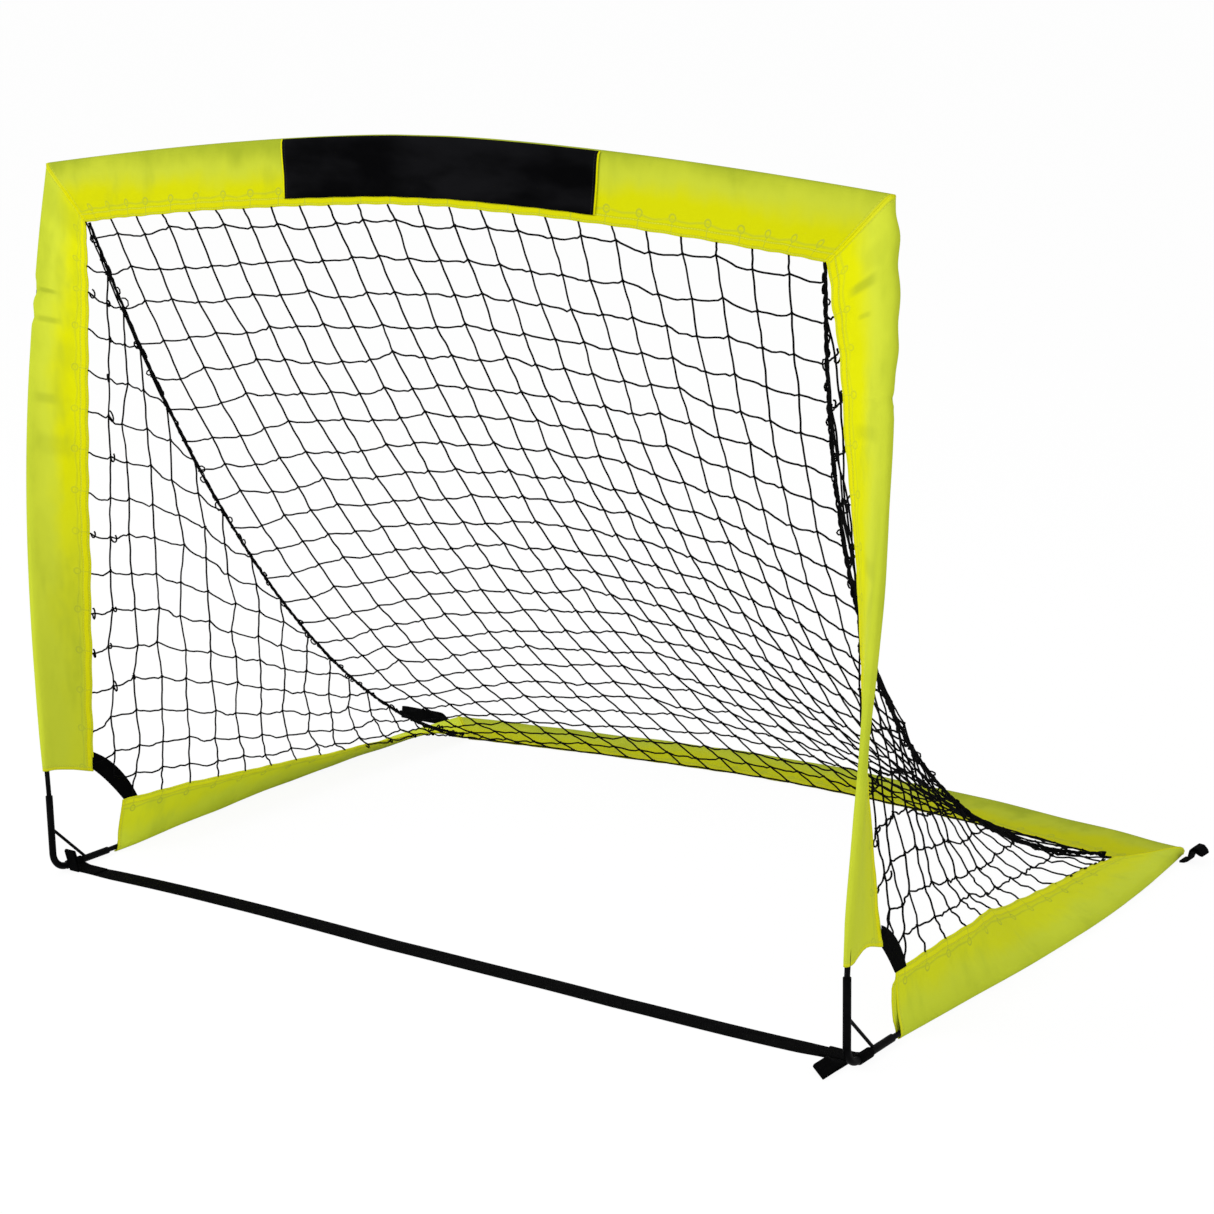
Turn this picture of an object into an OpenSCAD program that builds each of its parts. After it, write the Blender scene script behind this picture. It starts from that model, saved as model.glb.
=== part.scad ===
/* [Frame] */
// Distance between the axes of the two front uprights
ground_w = 1180; // [900:10:1800]
// Depth from the front uprights to the rear corners
base_depth = 838; // [600:1:1200]
// Height of the post rods' top ends
corner_h = 896; // [700:1:1300]
// Set-back of the top corners from the uprights
lean = 74; // [20:1:120]
// Outward set of each top corner from its upright
post_splay = 2.5; // [0:0.5:10]
// Sideways bow of each post between its ends
post_bow = 20; // [5:1:40]
// Upward bow of the top bar between its corners
top_bow = 45; // [10:1:80]
// Outward bow of each base side rod
side_bow = 20; // [5:1:40]
// Rearward bow of the rear bar
rear_bow = 75; // [20:1:100]

/* [Rods and fittings] */
// Diameter of the fibreglass rods
rod_d = 6.5; // [5:0.5:8]
// Running clearance of a rod in its socket, on the radius
rod_clear = 0.2; // [0.15:0.05:0.3]
// Wall of the steel sockets
tube_wall = 1.1; // [0.8:0.1:1.6]
// Length of each arm of a corner elbow
elbow_arm = 34; // [25:1:45]
// Solid core of an elbow, from its corner to each bore
elbow_core = 8; // [6:1:12]
// Length of the ferrules that join the half rods
ferrule_l = 60; // [40:2:90]

/* [Corner brackets] */
// Height of the upright socket's mouth
upright_h = 105; // [90:1:140]
// Distance of the leg socket's mouth behind the upright
leg_l = 95; // [85:1:130]
// Centre line radius of the tube's bend
bend_r = 22; // [18:1:25]
// Diameter of the gusset rod
gusset_d = 4; // [3:0.5:5]
// Height at which the gusset meets the upright
gusset_top = 62; // [50:1:75]

/* [Fabric sleeves] */
// Width of a sleeve from its rod's axis to its hem
sleeve_w = 72; // [50:1:90]
// Thickness of the fabric wall
fabric_t = 0.9; // [0.8:0.1:1.4]
// Thickness of the stitched hem
hem_t = 2.4; // [2:0.2:4]
// Width of the stitched hem
hem_w = 12; // [8:1:18]
// Slack between the pocket and the fittings inside it
pocket_slack = 0.3; // [0.2:0.1:1]
// Height of the post sleeve's lower end
post_sleeve_z = 118; // [110:1:150]
// Front end of a base sleeve, behind the upright
base_sleeve_y = 108; // [100:1:140]
// Turn of the post hem towards the rear at its foot
post_twist = 85; // [60:1:88]
// Turn of the base hem upwards at its front end
base_twist = 85; // [60:1:88]

/* [Header panel] */
// Width of the panel sewn on the top sleeve
header_w = 450; // [200:10:700]
// How far right of the middle the panel sits
header_x = 21; // [-60:1:60]
// Band of the sleeve left bare below the panel
header_margin = 9; // [4:1:20]
// Thickness of the panel's cloth
header_t = 0.7; // [0.5:0.1:1.5]
// Gap between the panel and the sleeve
header_gap = 0.3; // [0.2:0.1:0.5]

/* [Net] */
// Columns of meshes across the back
back_cols = 14; // [8:1:16]
// Rows of meshes down the back
back_rows = 12; // [8:1:14]
// Meshes along the foot of a side panel
side_cells = 9; // [5:1:10]
// Width of a strand
strand_w = 2.6; // [1.5:0.1:4]
// Depth of a strand
strand_t = 2; // [1:0.1:3]
// Diameter of the laced edge cords
cord_d = 7; // [4:0.5:10]
// Inward sag of an edge cord at its middle
cord_in = 71; // [20:1:110]
// Forward sag of an edge cord at its middle
cord_fwd = 71; // [20:1:110]
// Downward sag of an edge cord at its middle
cord_drop = 160; // [60:1:220]
// How much higher than its cords the back panel hangs in its middle
back_rise = 60; // [0:5:90]
// How much further back than its cords the back panel hangs in its middle
back_set = 40; // [0:5:70]
// Share by which that rise grows towards the ground and shrinks towards the top bar
back_low_share = 0.75; // [0:0.05:1]
// Gap between the net and what it is laced to
net_gap = 0.5; // [0.3:0.1:0.8]

/* [Webbing] */
// Thickness of the webbing
web_t = 1.3; // [1:0.1:2]
// Slack of a webbing wrap on its tube
web_clear = 0.15; // [0.1:0.05:0.3]
// Width of the ground strap
strap_w = 25; // [20:1:28]
// Length of the strap end sewn back on itself
strap_tail = 45; // [30:1:80]
// Width of the corner webbing
corner_web_w = 24; // [15:1:30]
// Clear radius below the corner webbing
corner_web_r = 43; // [30:1:60]
// Width of the rear stake loops
rear_loop_w = 20; // [15:1:25]
// Length of the rear stake loops
rear_loop_l = 90; // [60:1:110]
// Width of the front stake loops
front_loop_w = 22; // [15:1:28]
// Length of the right front stake loop
front_loop_l = 52; // [40:1:80]
// Length of the left front stake loop, which stands
left_loop_l = 32; // [28:1:80]
// Clear height of a stake loop's eye
eye_h = 7; // [5:0.5:12]
// Stitched length at a stake loop's root
loop_root = 10; // [6:1:20]
// Distance of the front stake loops from the upright
front_loop_x = 20; // [20:1:60]
// Angle at which the left front loop stands
left_loop_angle = 75; // [0:5:90]

/* [Hidden] */

x_axis = [1, 0, 0];
y_axis = [0, 1, 0];
z_axis = [0, 0, 1];
half_w = ground_w / 2;
corner_x = half_w + post_splay;
rod_r = rod_d / 2;
bore_r = rod_r + rod_clear;
tube_r = bore_r + tube_wall;
rod_sides = 10;
seam_gap = 0.3;
sharpest_rim = 0.35;

// The sleeve's pocket is a teardrop: five corners round the rod, then two flat walls to the hem.
pocket_angles = [75, 130, 180, 230, 285];
pocket_flat = cos((pocket_angles[1] - pocket_angles[0]) / 2);
pocket_in = (tube_r + pocket_slack) / pocket_flat;
pocket_out = pocket_in + fabric_t / pocket_flat;
pocket_end = hem_t / 4; // height of the narrow end where the two layers come together
ground_flat = 0.5;
wrap_in = tube_r + web_clear;
wrap_out = wrap_in + web_t;
wrap_space = 1;
rod_z = max(pocket_out - ground_flat, wrap_out);
// The strap wraps the leg just behind the bend, and the gusset's foot stands clear behind it.
strap_y = bend_r + wrap_space + strap_w / 2;
gusset_foot = strap_y + strap_w / 2 + wrap_out + gusset_d;
sleeve_section = concat(
  [[sleeve_w, hem_t / 2]],
  [for (a = pocket_angles) pocket_out * [cos(a), sin(a)]],
  [[sleeve_w, -hem_t / 2]]
);
pocket_section = concat(
  [[sleeve_w - hem_w, pocket_end / 2]],
  [for (a = pocket_angles) pocket_in * [cos(a), sin(a)]],
  [[sleeve_w - hem_w, -pocket_end / 2]]
);

bow_skew = 1.3;
bar_power = 1.5;
post_steps = 12;
side_steps = 10;
rear_steps = 7;
header_steps = 3;
outer_steps = 5;
ferrule_half = ferrule_l / 2;
cut_over = 1; // how far a bore is cut past both ends
elbow_ball = 1.04;

function unit(v) = v / norm(v);
function flip_x(p) = [-p.x, p.y, p.z];
function above_ground(p) = [p.x, p.y, max(p.z, 0)];
function square_to(v, t) = unit(v - (v * t) * t);
function blend(a, b, k) = a + (b - a) * k;

// A cantilever's curve leans each post back from its upright socket.
function post_at(s) = [
  half_w + post_splay * s + post_bow * sin(180 * pow(s, bow_skew)),
  lean * (3 * s * s - s * s * s) / 2,
  upright_h + (corner_h - upright_h) * s
];
function bar_rise(x, reach) =
  1 - pow(max(0, (abs(x) - ferrule_half) / (reach - ferrule_half)), bar_power);
function top_at(x) = [x, lean, corner_h + top_bow * bar_rise(x, corner_x)];
function side_at(s) = [
  half_w + side_bow * sin(180 * pow(s, bow_skew)),
  leg_l + (base_depth - leg_l) * s,
  rod_z
];
function rear_at(x) = [x, base_depth + rear_bow * bar_rise(x, half_w), rod_z];

post_path = [for (i = [0:post_steps]) post_at(i / post_steps)];
side_path = [for (i = [0:side_steps]) side_at(i / side_steps)];
// Both ends of the panel fall on stations of the top sleeve.
header_near = header_w / 2 - abs(header_x);
header_far = header_w / 2 + abs(header_x);
header_far_steps = header_x == 0 ? 0 : 1;
top_xs = concat(
  [for (i = [0:header_steps]) ferrule_half + (header_near - ferrule_half) * i / header_steps],
  header_far_steps > 0 ? [header_far] : [],
  [for (i = [1:outer_steps]) header_far + (corner_x - header_far) * i / outer_steps]
);
top_path = [for (x = top_xs) top_at(x)];
rear_path = [for (i = [0:rear_steps]) rear_at(ferrule_half + (half_w - ferrule_half) * i / rear_steps)];

function last_run(path) = unit(path[len(path) - 2] - path[len(path) - 1]);
// Directions away from each right-hand corner, along the two rods that meet there
post_run = last_run(post_path);
top_run = last_run(top_path);
side_run = last_run(side_path);
rear_run = last_run(rear_path);
function mitre(a, b) = (1 + a * b) / norm(cross(a, b));
top_mitre = mitre(post_run, top_run);
rear_mitre = mitre(side_run, rear_run);
mitre_reach = 2.2 * sleeve_w; // how far from a corner the cloth is drawn towards its mitre

// Point of a sleeve: u runs from the rod to the hem, v across the cloth, angle turns the hem, and
// shear draws the section towards the mitre at the corner.
function sleeve_point(at, along, ref, angle, run, shear, uv) =
  let (
    flat = square_to(ref, along),
    lift = cross(along, flat),
    hem = cos(angle) * flat + sin(angle) * lift,
    face = cross(along, hem),
    w = hem * uv.x + face * uv.y
  ) at + w + run * (shear * (w * flat));
function fade(distance) = max(0, 1 - distance / mitre_reach);

function post_angle(s) = -post_twist * (1 - s);
function post_sleeve_point(s, uv, along) =
  sleeve_point(
    post_at(s), along, top_run, post_angle(s), post_run,
    top_mitre * fade(norm(post_at(1) - post_at(s))), uv
  );
function top_sleeve_point(x, uv, along) =
  sleeve_point(top_at(x), along, post_run, 0, top_run, top_mitre * fade(corner_x - x), uv);
rear_droop = asin((rod_z - hem_t / 2) / sleeve_w);
function side_angle(s) = (base_twist + rear_droop) * (1 - s) - rear_droop;
function base_sleeve_point(s, uv, along) =
  sleeve_point(
    side_at(s), along, rear_run, side_angle(s), side_run,
    rear_mitre * fade(norm(side_at(1) - side_at(s))), uv
  );
function rear_sleeve_point(x, uv, along) =
  sleeve_point(rear_at(x), along, side_run, rear_droop, rear_run, rear_mitre * fade(half_w - x), uv);

// Closed solids swept through rings of equal length
function reversed(list) = [for (i = [len(list) - 1:-1:0]) list[i]];
function clean_quad(a, b, c, d) = concat(
  a == b || b == c || a == c ? [] : [[a, b, c]],
  a == c || c == d || a == d ? [] : [[a, c, d]]
);
function wall_faces(rings, n, stride, start, inward) = [
  for (i = [0:rings - 2])
    for (j = [0:n - 1])
      let (
        k = (j + 1) % n,
        a = start + i * stride + j,
        b = start + i * stride + k,
        c = start + (i + 1) * stride + k,
        d = start + (i + 1) * stride + j
      )
      each inward ? clean_quad(a, b, c, d) : clean_quad(a, d, c, b)
];
// The ends of a folded strip are closed pair by pair, those of a round section from one corner.
function end_faces(n, folded) =
  folded
    ? [for (k = [0:n / 2 - 2]) each clean_quad(k, k + 1, n - 2 - k, n - 1 - k)]
    : [for (j = [1:n - 2]) [0, j, j + 1]];
module tube_sweep(rings, folded = false) {
  n = len(rings[0]);
  last = (len(rings) - 1) * n;
  ends = end_faces(n, folded);
  polyhedron(
    points = [for (ring = rings) each ring],
    faces = concat(
      wall_faces(len(rings), n, n, 0, false),
      ends,
      [for (f = ends) [last + f[0], last + f[2], last + f[1]]]
    )
  );
}
// Outer and inner rings give a hollow sweep that is open at both ends.
module hollow_sweep(outer, inner) {
  n = len(outer[0]);
  rings = len(outer);
  last = (rings - 1) * 2 * n;
  polyhedron(
    points = [for (i = [0:rings - 1]) each concat(outer[i], inner[i])],
    faces = concat(
      wall_faces(rings, n, 2 * n, 0, false),
      wall_faces(rings, n, 2 * n, n, true),
      [for (j = [0:n - 1]) each clean_quad(j, (j + 1) % n, n + (j + 1) % n, n + j)],
      [
        for (j = [0:n - 1])
          let (k = (j + 1) % n)
          each clean_quad(last + n + j, last + n + k, last + k, last + j)
      ]
    )
  );
}
function path_along(path, i) =
  unit(path[min(i + 1, len(path) - 1)] - path[max(i - 1, 0)]);
ring_ref = [0.3, 1, 0.2]; // a direction that no rod or cord runs along
function rod_ring(at, along, radius, sides) =
  let (e1 = square_to(ring_ref, along), e2 = cross(along, e1))
  [for (j = [0:sides - 1]) at + radius * (cos(360 * j / sides) * e1 + sin(360 * j / sides) * e2)];
function trimmed(path, cut) =
  let (n = len(path) - 1) [for (i = [0:n]) i < n ? path[i] : path[n] + last_run(path) * cut];
module bowed_rod(path) {
  points = trimmed(path, elbow_core + rod_clear);
  first = unit(points[1] - points[0]);
  rings = [
    for (i = [0:len(points) - 1])
      rod_ring(points[i], i == 0 ? first : path_along(path, i), rod_r, rod_sides)
  ];
  tube_sweep(rings);
}
module lay_along(direction) {
  rotate([0, acos(direction.z), atan2(direction.y, direction.x)]) children();
}

// Steel corner bracket: one bent tube whose two open ends are the rod sockets
module bracket_shape(radius, extra) {
  upright_foot = rod_z + bend_r;
  translate([half_w, 0, upright_foot])
    cylinder(h = upright_h - upright_foot + extra, r = radius, $fn = 48);
  translate([half_w, bend_r, rod_z + bend_r])
    rotate([-90, 0, -90])
      rotate_extrude(angle = 90, $fn = 96)
        translate([bend_r, 0]) circle(r = radius, $fn = 48);
  translate([half_w, bend_r, rod_z])
    rotate([-90, 0, 0]) cylinder(h = leg_l - bend_r + extra, r = radius, $fn = 48);
}
module corner_bracket() {
  color("#111112")
    difference() {
      bracket_shape(tube_r, 0);
      bracket_shape(bore_r, 1);
    }
}
// Gusset rod welded between the upright and the leg, its ends coped to the tube
module gusset_rod() {
  foot = [half_w, gusset_foot, rod_z];
  head = [half_w, 0, gusset_top];
  color("#111112")
    difference() {
      translate(foot)
        lay_along(unit(head - foot)) cylinder(h = norm(head - foot), r = gusset_d / 2, $fn = 32);
      translate([half_w, 0, 0]) cylinder(h = upright_h, r = tube_r, $fn = 48);
      translate([half_w, 0, rod_z]) rotate([-90, 0, 0]) cylinder(h = leg_l, r = tube_r, $fn = 48);
    }
}

// Fibreglass rods. The straight end of a post or base rod stands in the bracket, and its bowed
// length, a many-sided sweep, starts a little inside that end.
rod_lap = 1;
bowed_r = 0.985 * rod_r;
module seated_rod(path, direction) {
  points = trimmed(path, elbow_core + rod_clear);
  seat_l = (direction == z_axis ? upright_h - rod_z : leg_l) - bend_r - rod_clear - rod_lap / 2;
  translate(path[0] - direction * (seat_l + rod_lap / 2))
    lay_along(direction) cylinder(h = seat_l, r = rod_r, $fn = 48);
  tube_sweep(concat(
    [rod_ring(path[0] - direction * rod_lap, direction, bowed_r, rod_sides)],
    [
      for (i = [0:len(points) - 1])
        rod_ring(points[i], i == 0 ? direction : path_along(path, i), bowed_r, rod_sides)
    ]
  ));
}
module post_rod() {
  color("#1c1c1d") seated_rod(post_path, z_axis);
}
module base_rod() {
  color("#1c1c1d") seated_rod(side_path, y_axis);
}
module half_rod(path) {
  middle = [path[0] - [path[0].x - rod_clear, 0, 0]];
  color("#1c1c1d") bowed_rod(concat(middle, path));
}
module ferrule(at) {
  color("#b08a3e")
    translate(at - ferrule_half * x_axis)
      rotate([0, 90, 0])
        difference() {
          cylinder(h = ferrule_l, r = tube_r, $fn = 48);
          translate([0, 0, -cut_over])
            cylinder(h = ferrule_l + 2 * cut_over, r = bore_r, $fn = 48);
        }
}
module elbow(at, run_a, run_b) {
  color("#2a2a2b")
    translate(at)
      difference() {
        union() {
          sphere(r = elbow_ball * tube_r, $fn = 48);
          lay_along(run_a) cylinder(h = elbow_arm, r = tube_r, $fn = 48);
          lay_along(run_b) cylinder(h = elbow_arm, r = tube_r, $fn = 48);
        }
        lay_along(run_a) translate([0, 0, elbow_core]) cylinder(h = elbow_arm, r = bore_r, $fn = 48);
        lay_along(run_b) translate([0, 0, elbow_core]) cylinder(h = elbow_arm, r = bore_r, $fn = 48);
      }
}

// Fabric sleeves, hollow teardrops that turn about their rods and meet in mitred corners
fabric_colour = "#c8e02a";
post_start = (post_sleeve_z - upright_h) / (corner_h - upright_h);
post_stations = concat([post_start], [for (i = [1:post_steps]) i / post_steps]);
side_start = (base_sleeve_y - leg_l) / (base_depth - leg_l);
side_stations = concat([side_start], [for (i = [1:side_steps]) i / side_steps]);
function at_seam(rings, run) = [
  for (i = [0:len(rings) - 1])
    i < len(rings) - 1 ? rings[i] : [for (p = rings[i]) p + run * seam_gap]
];
function post_rings(section) = at_seam([
  for (i = [0:post_steps])
    [for (uv = section) post_sleeve_point(post_stations[i], uv, path_along(post_path, i))]
], post_run);
function side_rings(section) = at_seam([
  for (i = [0:side_steps])
    [
      for (uv = section)
        above_ground(base_sleeve_point(side_stations[i], uv, path_along(side_path, i)))
    ]
], side_run);
function top_chord(i) = path_along(concat([flip_x(top_path[0])], top_path), i + 1);
function rear_chord(i) = path_along(concat([flip_x(rear_path[0])], rear_path), i + 1);
function top_half(section) = at_seam([
  for (i = [0:len(top_xs) - 1]) [for (uv = section) top_sleeve_point(top_xs[i], uv, top_chord(i))]
], top_run);
function rear_half(section) = at_seam([
  for (i = [0:rear_steps])
    [for (uv = section) above_ground(rear_sleeve_point(rear_path[i].x, uv, rear_chord(i)))]
], rear_run);
function flipped(rings) = [for (ring = reversed(rings)) [for (p = ring) flip_x(p)]];
function both_halves(rings) = concat(flipped(rings), rings);
module post_sleeve() {
  color(fabric_colour) hollow_sweep(post_rings(sleeve_section), post_rings(pocket_section));
}
module top_sleeve_shape() {
  color(fabric_colour)
    hollow_sweep(both_halves(top_half(sleeve_section)), both_halves(top_half(pocket_section)));
}
module base_sleeve() {
  color(fabric_colour) hollow_sweep(side_rings(sleeve_section), side_rings(pocket_section));
}
module rear_sleeve_shape() {
  color(fabric_colour)
    hollow_sweep(both_halves(rear_half(sleeve_section)), both_halves(rear_half(pocket_section)));
}

// Plain header panel on the front of the top sleeve, from the hem up and over the rod
function wall_v(u) =
  let (near = pocket_out * [cos(pocket_angles[0]), sin(pocket_angles[0])])
  near.y + (hem_t / 2 - near.y) * (u - near.x) / (sleeve_w - near.x);
function header_line(offset) = concat(
  [[sleeve_w - header_margin, -wall_v(sleeve_w - header_margin) - offset]],
  [for (a = [285, 230]) (pocket_out + offset) * [cos(a), sin(a)]]
);
header_section = concat(
  header_line(header_gap),
  reversed(header_line(header_gap + header_t))
);
function header_rings(steps) = [
  for (i = [0:steps]) [for (uv = header_section) top_sleeve_point(top_xs[i], uv, top_chord(i))]
];
header_left = header_rings(header_steps + (header_x < 0 ? header_far_steps : 0));
header_right = header_rings(header_steps + (header_x > 0 ? header_far_steps : 0));
module header_panel_shape() {
  color("#0c0c0d") tube_sweep(concat(flipped(header_left), header_right), folded = true);
}

// Hems as the net meets them: the strand's centre line lies one gap beyond the cloth.
strand_half = norm([strand_w, strand_t]) / 2;
net_reach = sleeve_w + net_gap + strand_half;
strand_clear = 0.1;
strand_rest = strand_half + strand_clear;
function lifted(p) = [p.x, p.y, max(p.z, strand_rest)];
// Point at s on a line through points that stand at the given stations
function line_at(points, stations, s) =
  let (
    i = len([for (k = [1:len(stations) - 2]) if (stations[k] <= s) k]),
    k = (s - stations[i]) / (stations[i + 1] - stations[i])
  ) blend(points[i], points[i + 1], k);
function hem_of(section_rings) = [for (ring = section_rings) ring[0]];
function both_ways(xs) = concat([for (x = reversed(xs)) -x], xs);
post_hem_line = hem_of(post_rings([[net_reach, 0]]));
base_hem_line = hem_of(side_rings([[net_reach, 0]]));
top_hem_line = hem_of(both_halves(top_half([[net_reach, 0]])));
rear_hem_line = hem_of(both_halves(rear_half([[net_reach, 0]])));
rear_xs = [for (p = rear_path) p.x];
function post_hem(s) = line_at(post_hem_line, post_stations, s);
function base_hem(s) = lifted(line_at(base_hem_line, side_stations, s));
function top_hem(x) = line_at(top_hem_line, both_ways(top_xs), x);
function rear_hem(x) = lifted(line_at(rear_hem_line, both_ways(rear_xs), x));

// Edge cords from the top corners to the rear corners, along the seams of back and side panels
cord_r = cord_d / 2;
cord_sides = 8;
side_top = 0.035;
side_foot = 0.965;
cord_stations = concat(
  [0],
  [for (i = [0:side_cells]) side_top + (side_foot - side_top) * i / side_cells],
  [1]
);
cord_off = cord_r + net_gap;
top_corner = post_sleeve_point(1, [sleeve_w, 0], -post_run);
rear_corner = base_sleeve_point(1, [sleeve_w, 0], -side_run);
cord_top = top_corner + [-cord_off, 0, -cord_off];
cord_foot = [rear_corner.x - cord_off - cord_r, rear_corner.y - cord_off, cord_r + strand_rest];
function sagging(v) =
  blend(cord_top, cord_foot, v) - 4 * v * (1 - v) * [cord_in, cord_fwd, cord_drop];
cord_path = [for (v = cord_stations) sagging(v)];
function cord_at(v) = line_at(cord_path, cord_stations, v);
module edge_cord() {
  color("#141415")
    tube_sweep([
      for (i = [0:len(cord_path) - 1])
        rod_ring(cord_path[i], path_along(cord_path, i), cord_r, cord_sides)
    ]);
}

// Net panels: one sheet of strands with an open mesh between them. A cut panel keeps the half
// below its diagonal. nodes[i][j] are the knots, i across and j up.
function knot(nodes, n) = nodes[n.x][n.y];
function corner_inset(a, b, c) =
  let (e1 = unit(b - a), e2 = unit(c - a)) a + (strand_w / 2) * (e1 + e2) / norm(cross(e1, e2));
function ring_order(cols, rows, cut) = concat(
  [for (i = [0:cols - 1]) [i, 0]],
  cut ? [for (i = [0:cols - 1]) [cols - i, i]] : [for (j = [0:rows - 1]) [cols, j]],
  cut ? [] : [for (i = [cols:-1:1]) [i, rows]],
  [for (j = [rows:-1:1]) [0, j]]
);
function is_cell(i, j, cols, rows, cut) =
  i >= 0 && j >= 0 && i < cols && j < rows && (!cut || i + j < cols);
function cell_row(i, cols, rows, cut) = cut ? i * cols - i * (i - 1) / 2 : i * rows;
function position(list, item) = [for (k = [0:len(list) - 1]) if (list[k] == item) k][0];
module net_panel(nodes, cut = false, seam_low = false, seam_high = false) {
  cols = len(nodes) - 1;
  rows = len(nodes[0]) - 1;
  ring = ring_order(cols, rows, cut);
  cells = [
    for (i = [0:cols - 1])
      for (j = [0:rows - 1])
        if (is_cell(i, j, cols, rows, cut)) [i, j]
  ];
  outer_base = 8 * len(cells);
  // Surface direction at a knot
  function face_at(n) =
    let (
      right = n.x < cols && (!cut || n.x + n.y < cols) ? [n.x + 1, n.y] : n,
      left = right == n || n.x > 0 ? [max(n.x - 1, 0), n.y] : n,
      up = n.y < rows && (!cut || n.x + n.y < cols) ? [n.x, n.y + 1] : n,
      down = up == n || n.y > 0 ? [n.x, max(n.y - 1, 0)] : n,
      side = up == down
        ? knot(nodes, [n.x - 1, 1]) - knot(nodes, [n.x - 1, 0])
        : knot(nodes, up) - knot(nodes, down),
      across = right == left
        ? knot(nodes, [1, n.y - 1]) - knot(nodes, [0, n.y - 1])
        : knot(nodes, right) - knot(nodes, left)
    ) unit(cross(across, side));
  // The four knots of a mesh, its corner beside each, and the same on the ring
  function cell_corners(c) =
    let (half = cut && c.x + c.y == cols - 1)
    half ? [c, c + [1, 0], c + [0, 1]] : [c, c + [1, 0], c + [1, 1], c + [0, 1]];
  function cell_points(c) =
    let (
      n = cell_corners(c),
      m = len(n),
      inset = [
        for (k = [0:m - 1])
          corner_inset(knot(nodes, n[k]), knot(nodes, n[(k + 1) % m]), knot(nodes, n[(k + m - 1) % m]))
      ],
      depth = [for (k = [0:m - 1]) face_at(n[k]) * strand_t / 2],
      four = m == 4 ? [0, 1, 2, 3] : [0, 1, 1, 2]
    )
    concat([for (k = four) inset[k] + depth[k]], [for (k = four) inset[k] - depth[k]]);
  // How far the rim lies outside the line of knots from a to b: not at all where two panels meet
  function rim_reach(a, b) =
    (seam_low && a.y == 0 && b.y == 0) || (seam_high && a.y == rows && b.y == rows)
      ? -seam_gap / 2
      : strand_w / 2;
  function ring_points(k) =
    let (
      n = len(ring),
      before = ring[(k + n - 1) % n],
      after = ring[(k + 1) % n],
      face = face_at(ring[k]),
      o1 = unit(cross(unit(knot(nodes, ring[k]) - knot(nodes, before)), face)),
      o2 = unit(cross(unit(knot(nodes, after) - knot(nodes, ring[k])), face)),
      d1 = rim_reach(before, ring[k]),
      d2 = rim_reach(ring[k], after),
      c = o1 * o2,
      reach = d1 == d2
        ? d1 * (o1 + o2) / max(1 + c, sharpest_rim)
        : ((d1 - c * d2) * o1 + (d2 - c * d1) * o2) / (1 - c * c),
      out = knot(nodes, ring[k]) + reach
    ) [out + face * strand_t / 2, out - face * strand_t / 2];
  function cell_slot(c, q) =
    cut && c.x + c.y == cols - 1 && q == 2 ? 1 : q;
  // Index of the sheet's point in quarter q of cell c, or of the ring's point at knot n
  function at(c, q, n, back) =
    is_cell(c.x, c.y, cols, rows, cut)
      ? 8 * (cell_row(c.x, cols, rows, cut) + c.y) + cell_slot(c, q) + (back ? 4 : 0)
      : outer_base + 2 * position(ring, n) + (back ? 1 : 0);
  function has_knot(n) = n.x <= cols && n.y <= rows && (!cut || n.x + n.y <= cols);
  function patch(n, back) =
    let (
      a = at(n - [1, 1], 2, n, back),
      b = at(n - [0, 1], 3, n, back),
      c = at(n, 0, n, back),
      d = at(n - [1, 0], 1, n, back)
    ) clean_quad(a, b, c, d);
  function across(n, back) =
    let (m = n + [1, 0], under = n - [0, 1])
    has_knot(m)
      ? clean_quad(at(under, 3, n, back), at(under, 2, m, back), at(n, 1, m, back), at(n, 0, n, back))
      : [];
  function upward(n, back) =
    let (m = n + [0, 1], side = n - [1, 0])
    has_knot(m)
      ? clean_quad(at(side, 1, n, back), at(n, 0, n, back), at(n, 3, m, back), at(side, 2, m, back))
      : [];
  function slanted(c, back) =
    cut && c.x + c.y == cols - 1
      ? let (none = [-1, -1], low = at(none, 0, c + [1, 0], back), high = at(none, 0, c + [0, 1], back))
        clean_quad(at(c, 1, c, back), low, high, at(c, 3, c, back))
      : [];
  function sheet(back) = concat(
    [
      for (i = [0:cols])
        for (j = [0:rows])
          if (has_knot([i, j])) each concat(patch([i, j], back), across([i, j], back), upward([i, j], back))
    ],
    [for (c = cells) each slanted(c, back)]
  );
  hole_walls = [
    for (k = [0:len(cells) - 1])
      let (b = 8 * k, q = cut && cells[k].x + cells[k].y == cols - 1 ? [0, 1, 3] : [0, 1, 2, 3])
      for (m = [0:len(q) - 1])
        let (a = q[m], d = q[(m + 1) % len(q)])
        each clean_quad(b + a, b + d, b + 4 + d, b + 4 + a)
  ];
  rim = [
    for (k = [0:len(ring) - 1])
      let (a = outer_base + 2 * k, b = outer_base + 2 * ((k + 1) % len(ring)))
      each clean_quad(a, a + 1, b + 1, b)
  ];
  polyhedron(
    points = concat(
      [for (c = cells) each cell_points(c)],
      [for (k = [0:len(ring) - 1]) each ring_points(k)]
    ),
    faces = concat(
      [for (f = sheet(false)) reversed(f)],
      sheet(true),
      [for (f = hole_walls) reversed(f)],
      [for (f = rim) reversed(f)]
    )
  );
}

// Back panel between the top hem, the rear hem and the two cords
border_off = cord_r + net_gap + strand_half;
back_top_x = abs(cord_at(0).x) - border_off;
back_foot_x = abs(cord_at(1).x) - border_off;
function back_side(v) = cord_at(v) - (border_off + net_gap) * x_axis;
function back_top(u) = top_hem((2 * u - 1) * back_top_x);
function back_foot(u) = rear_hem((2 * u - 1) * back_foot_x);
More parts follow.
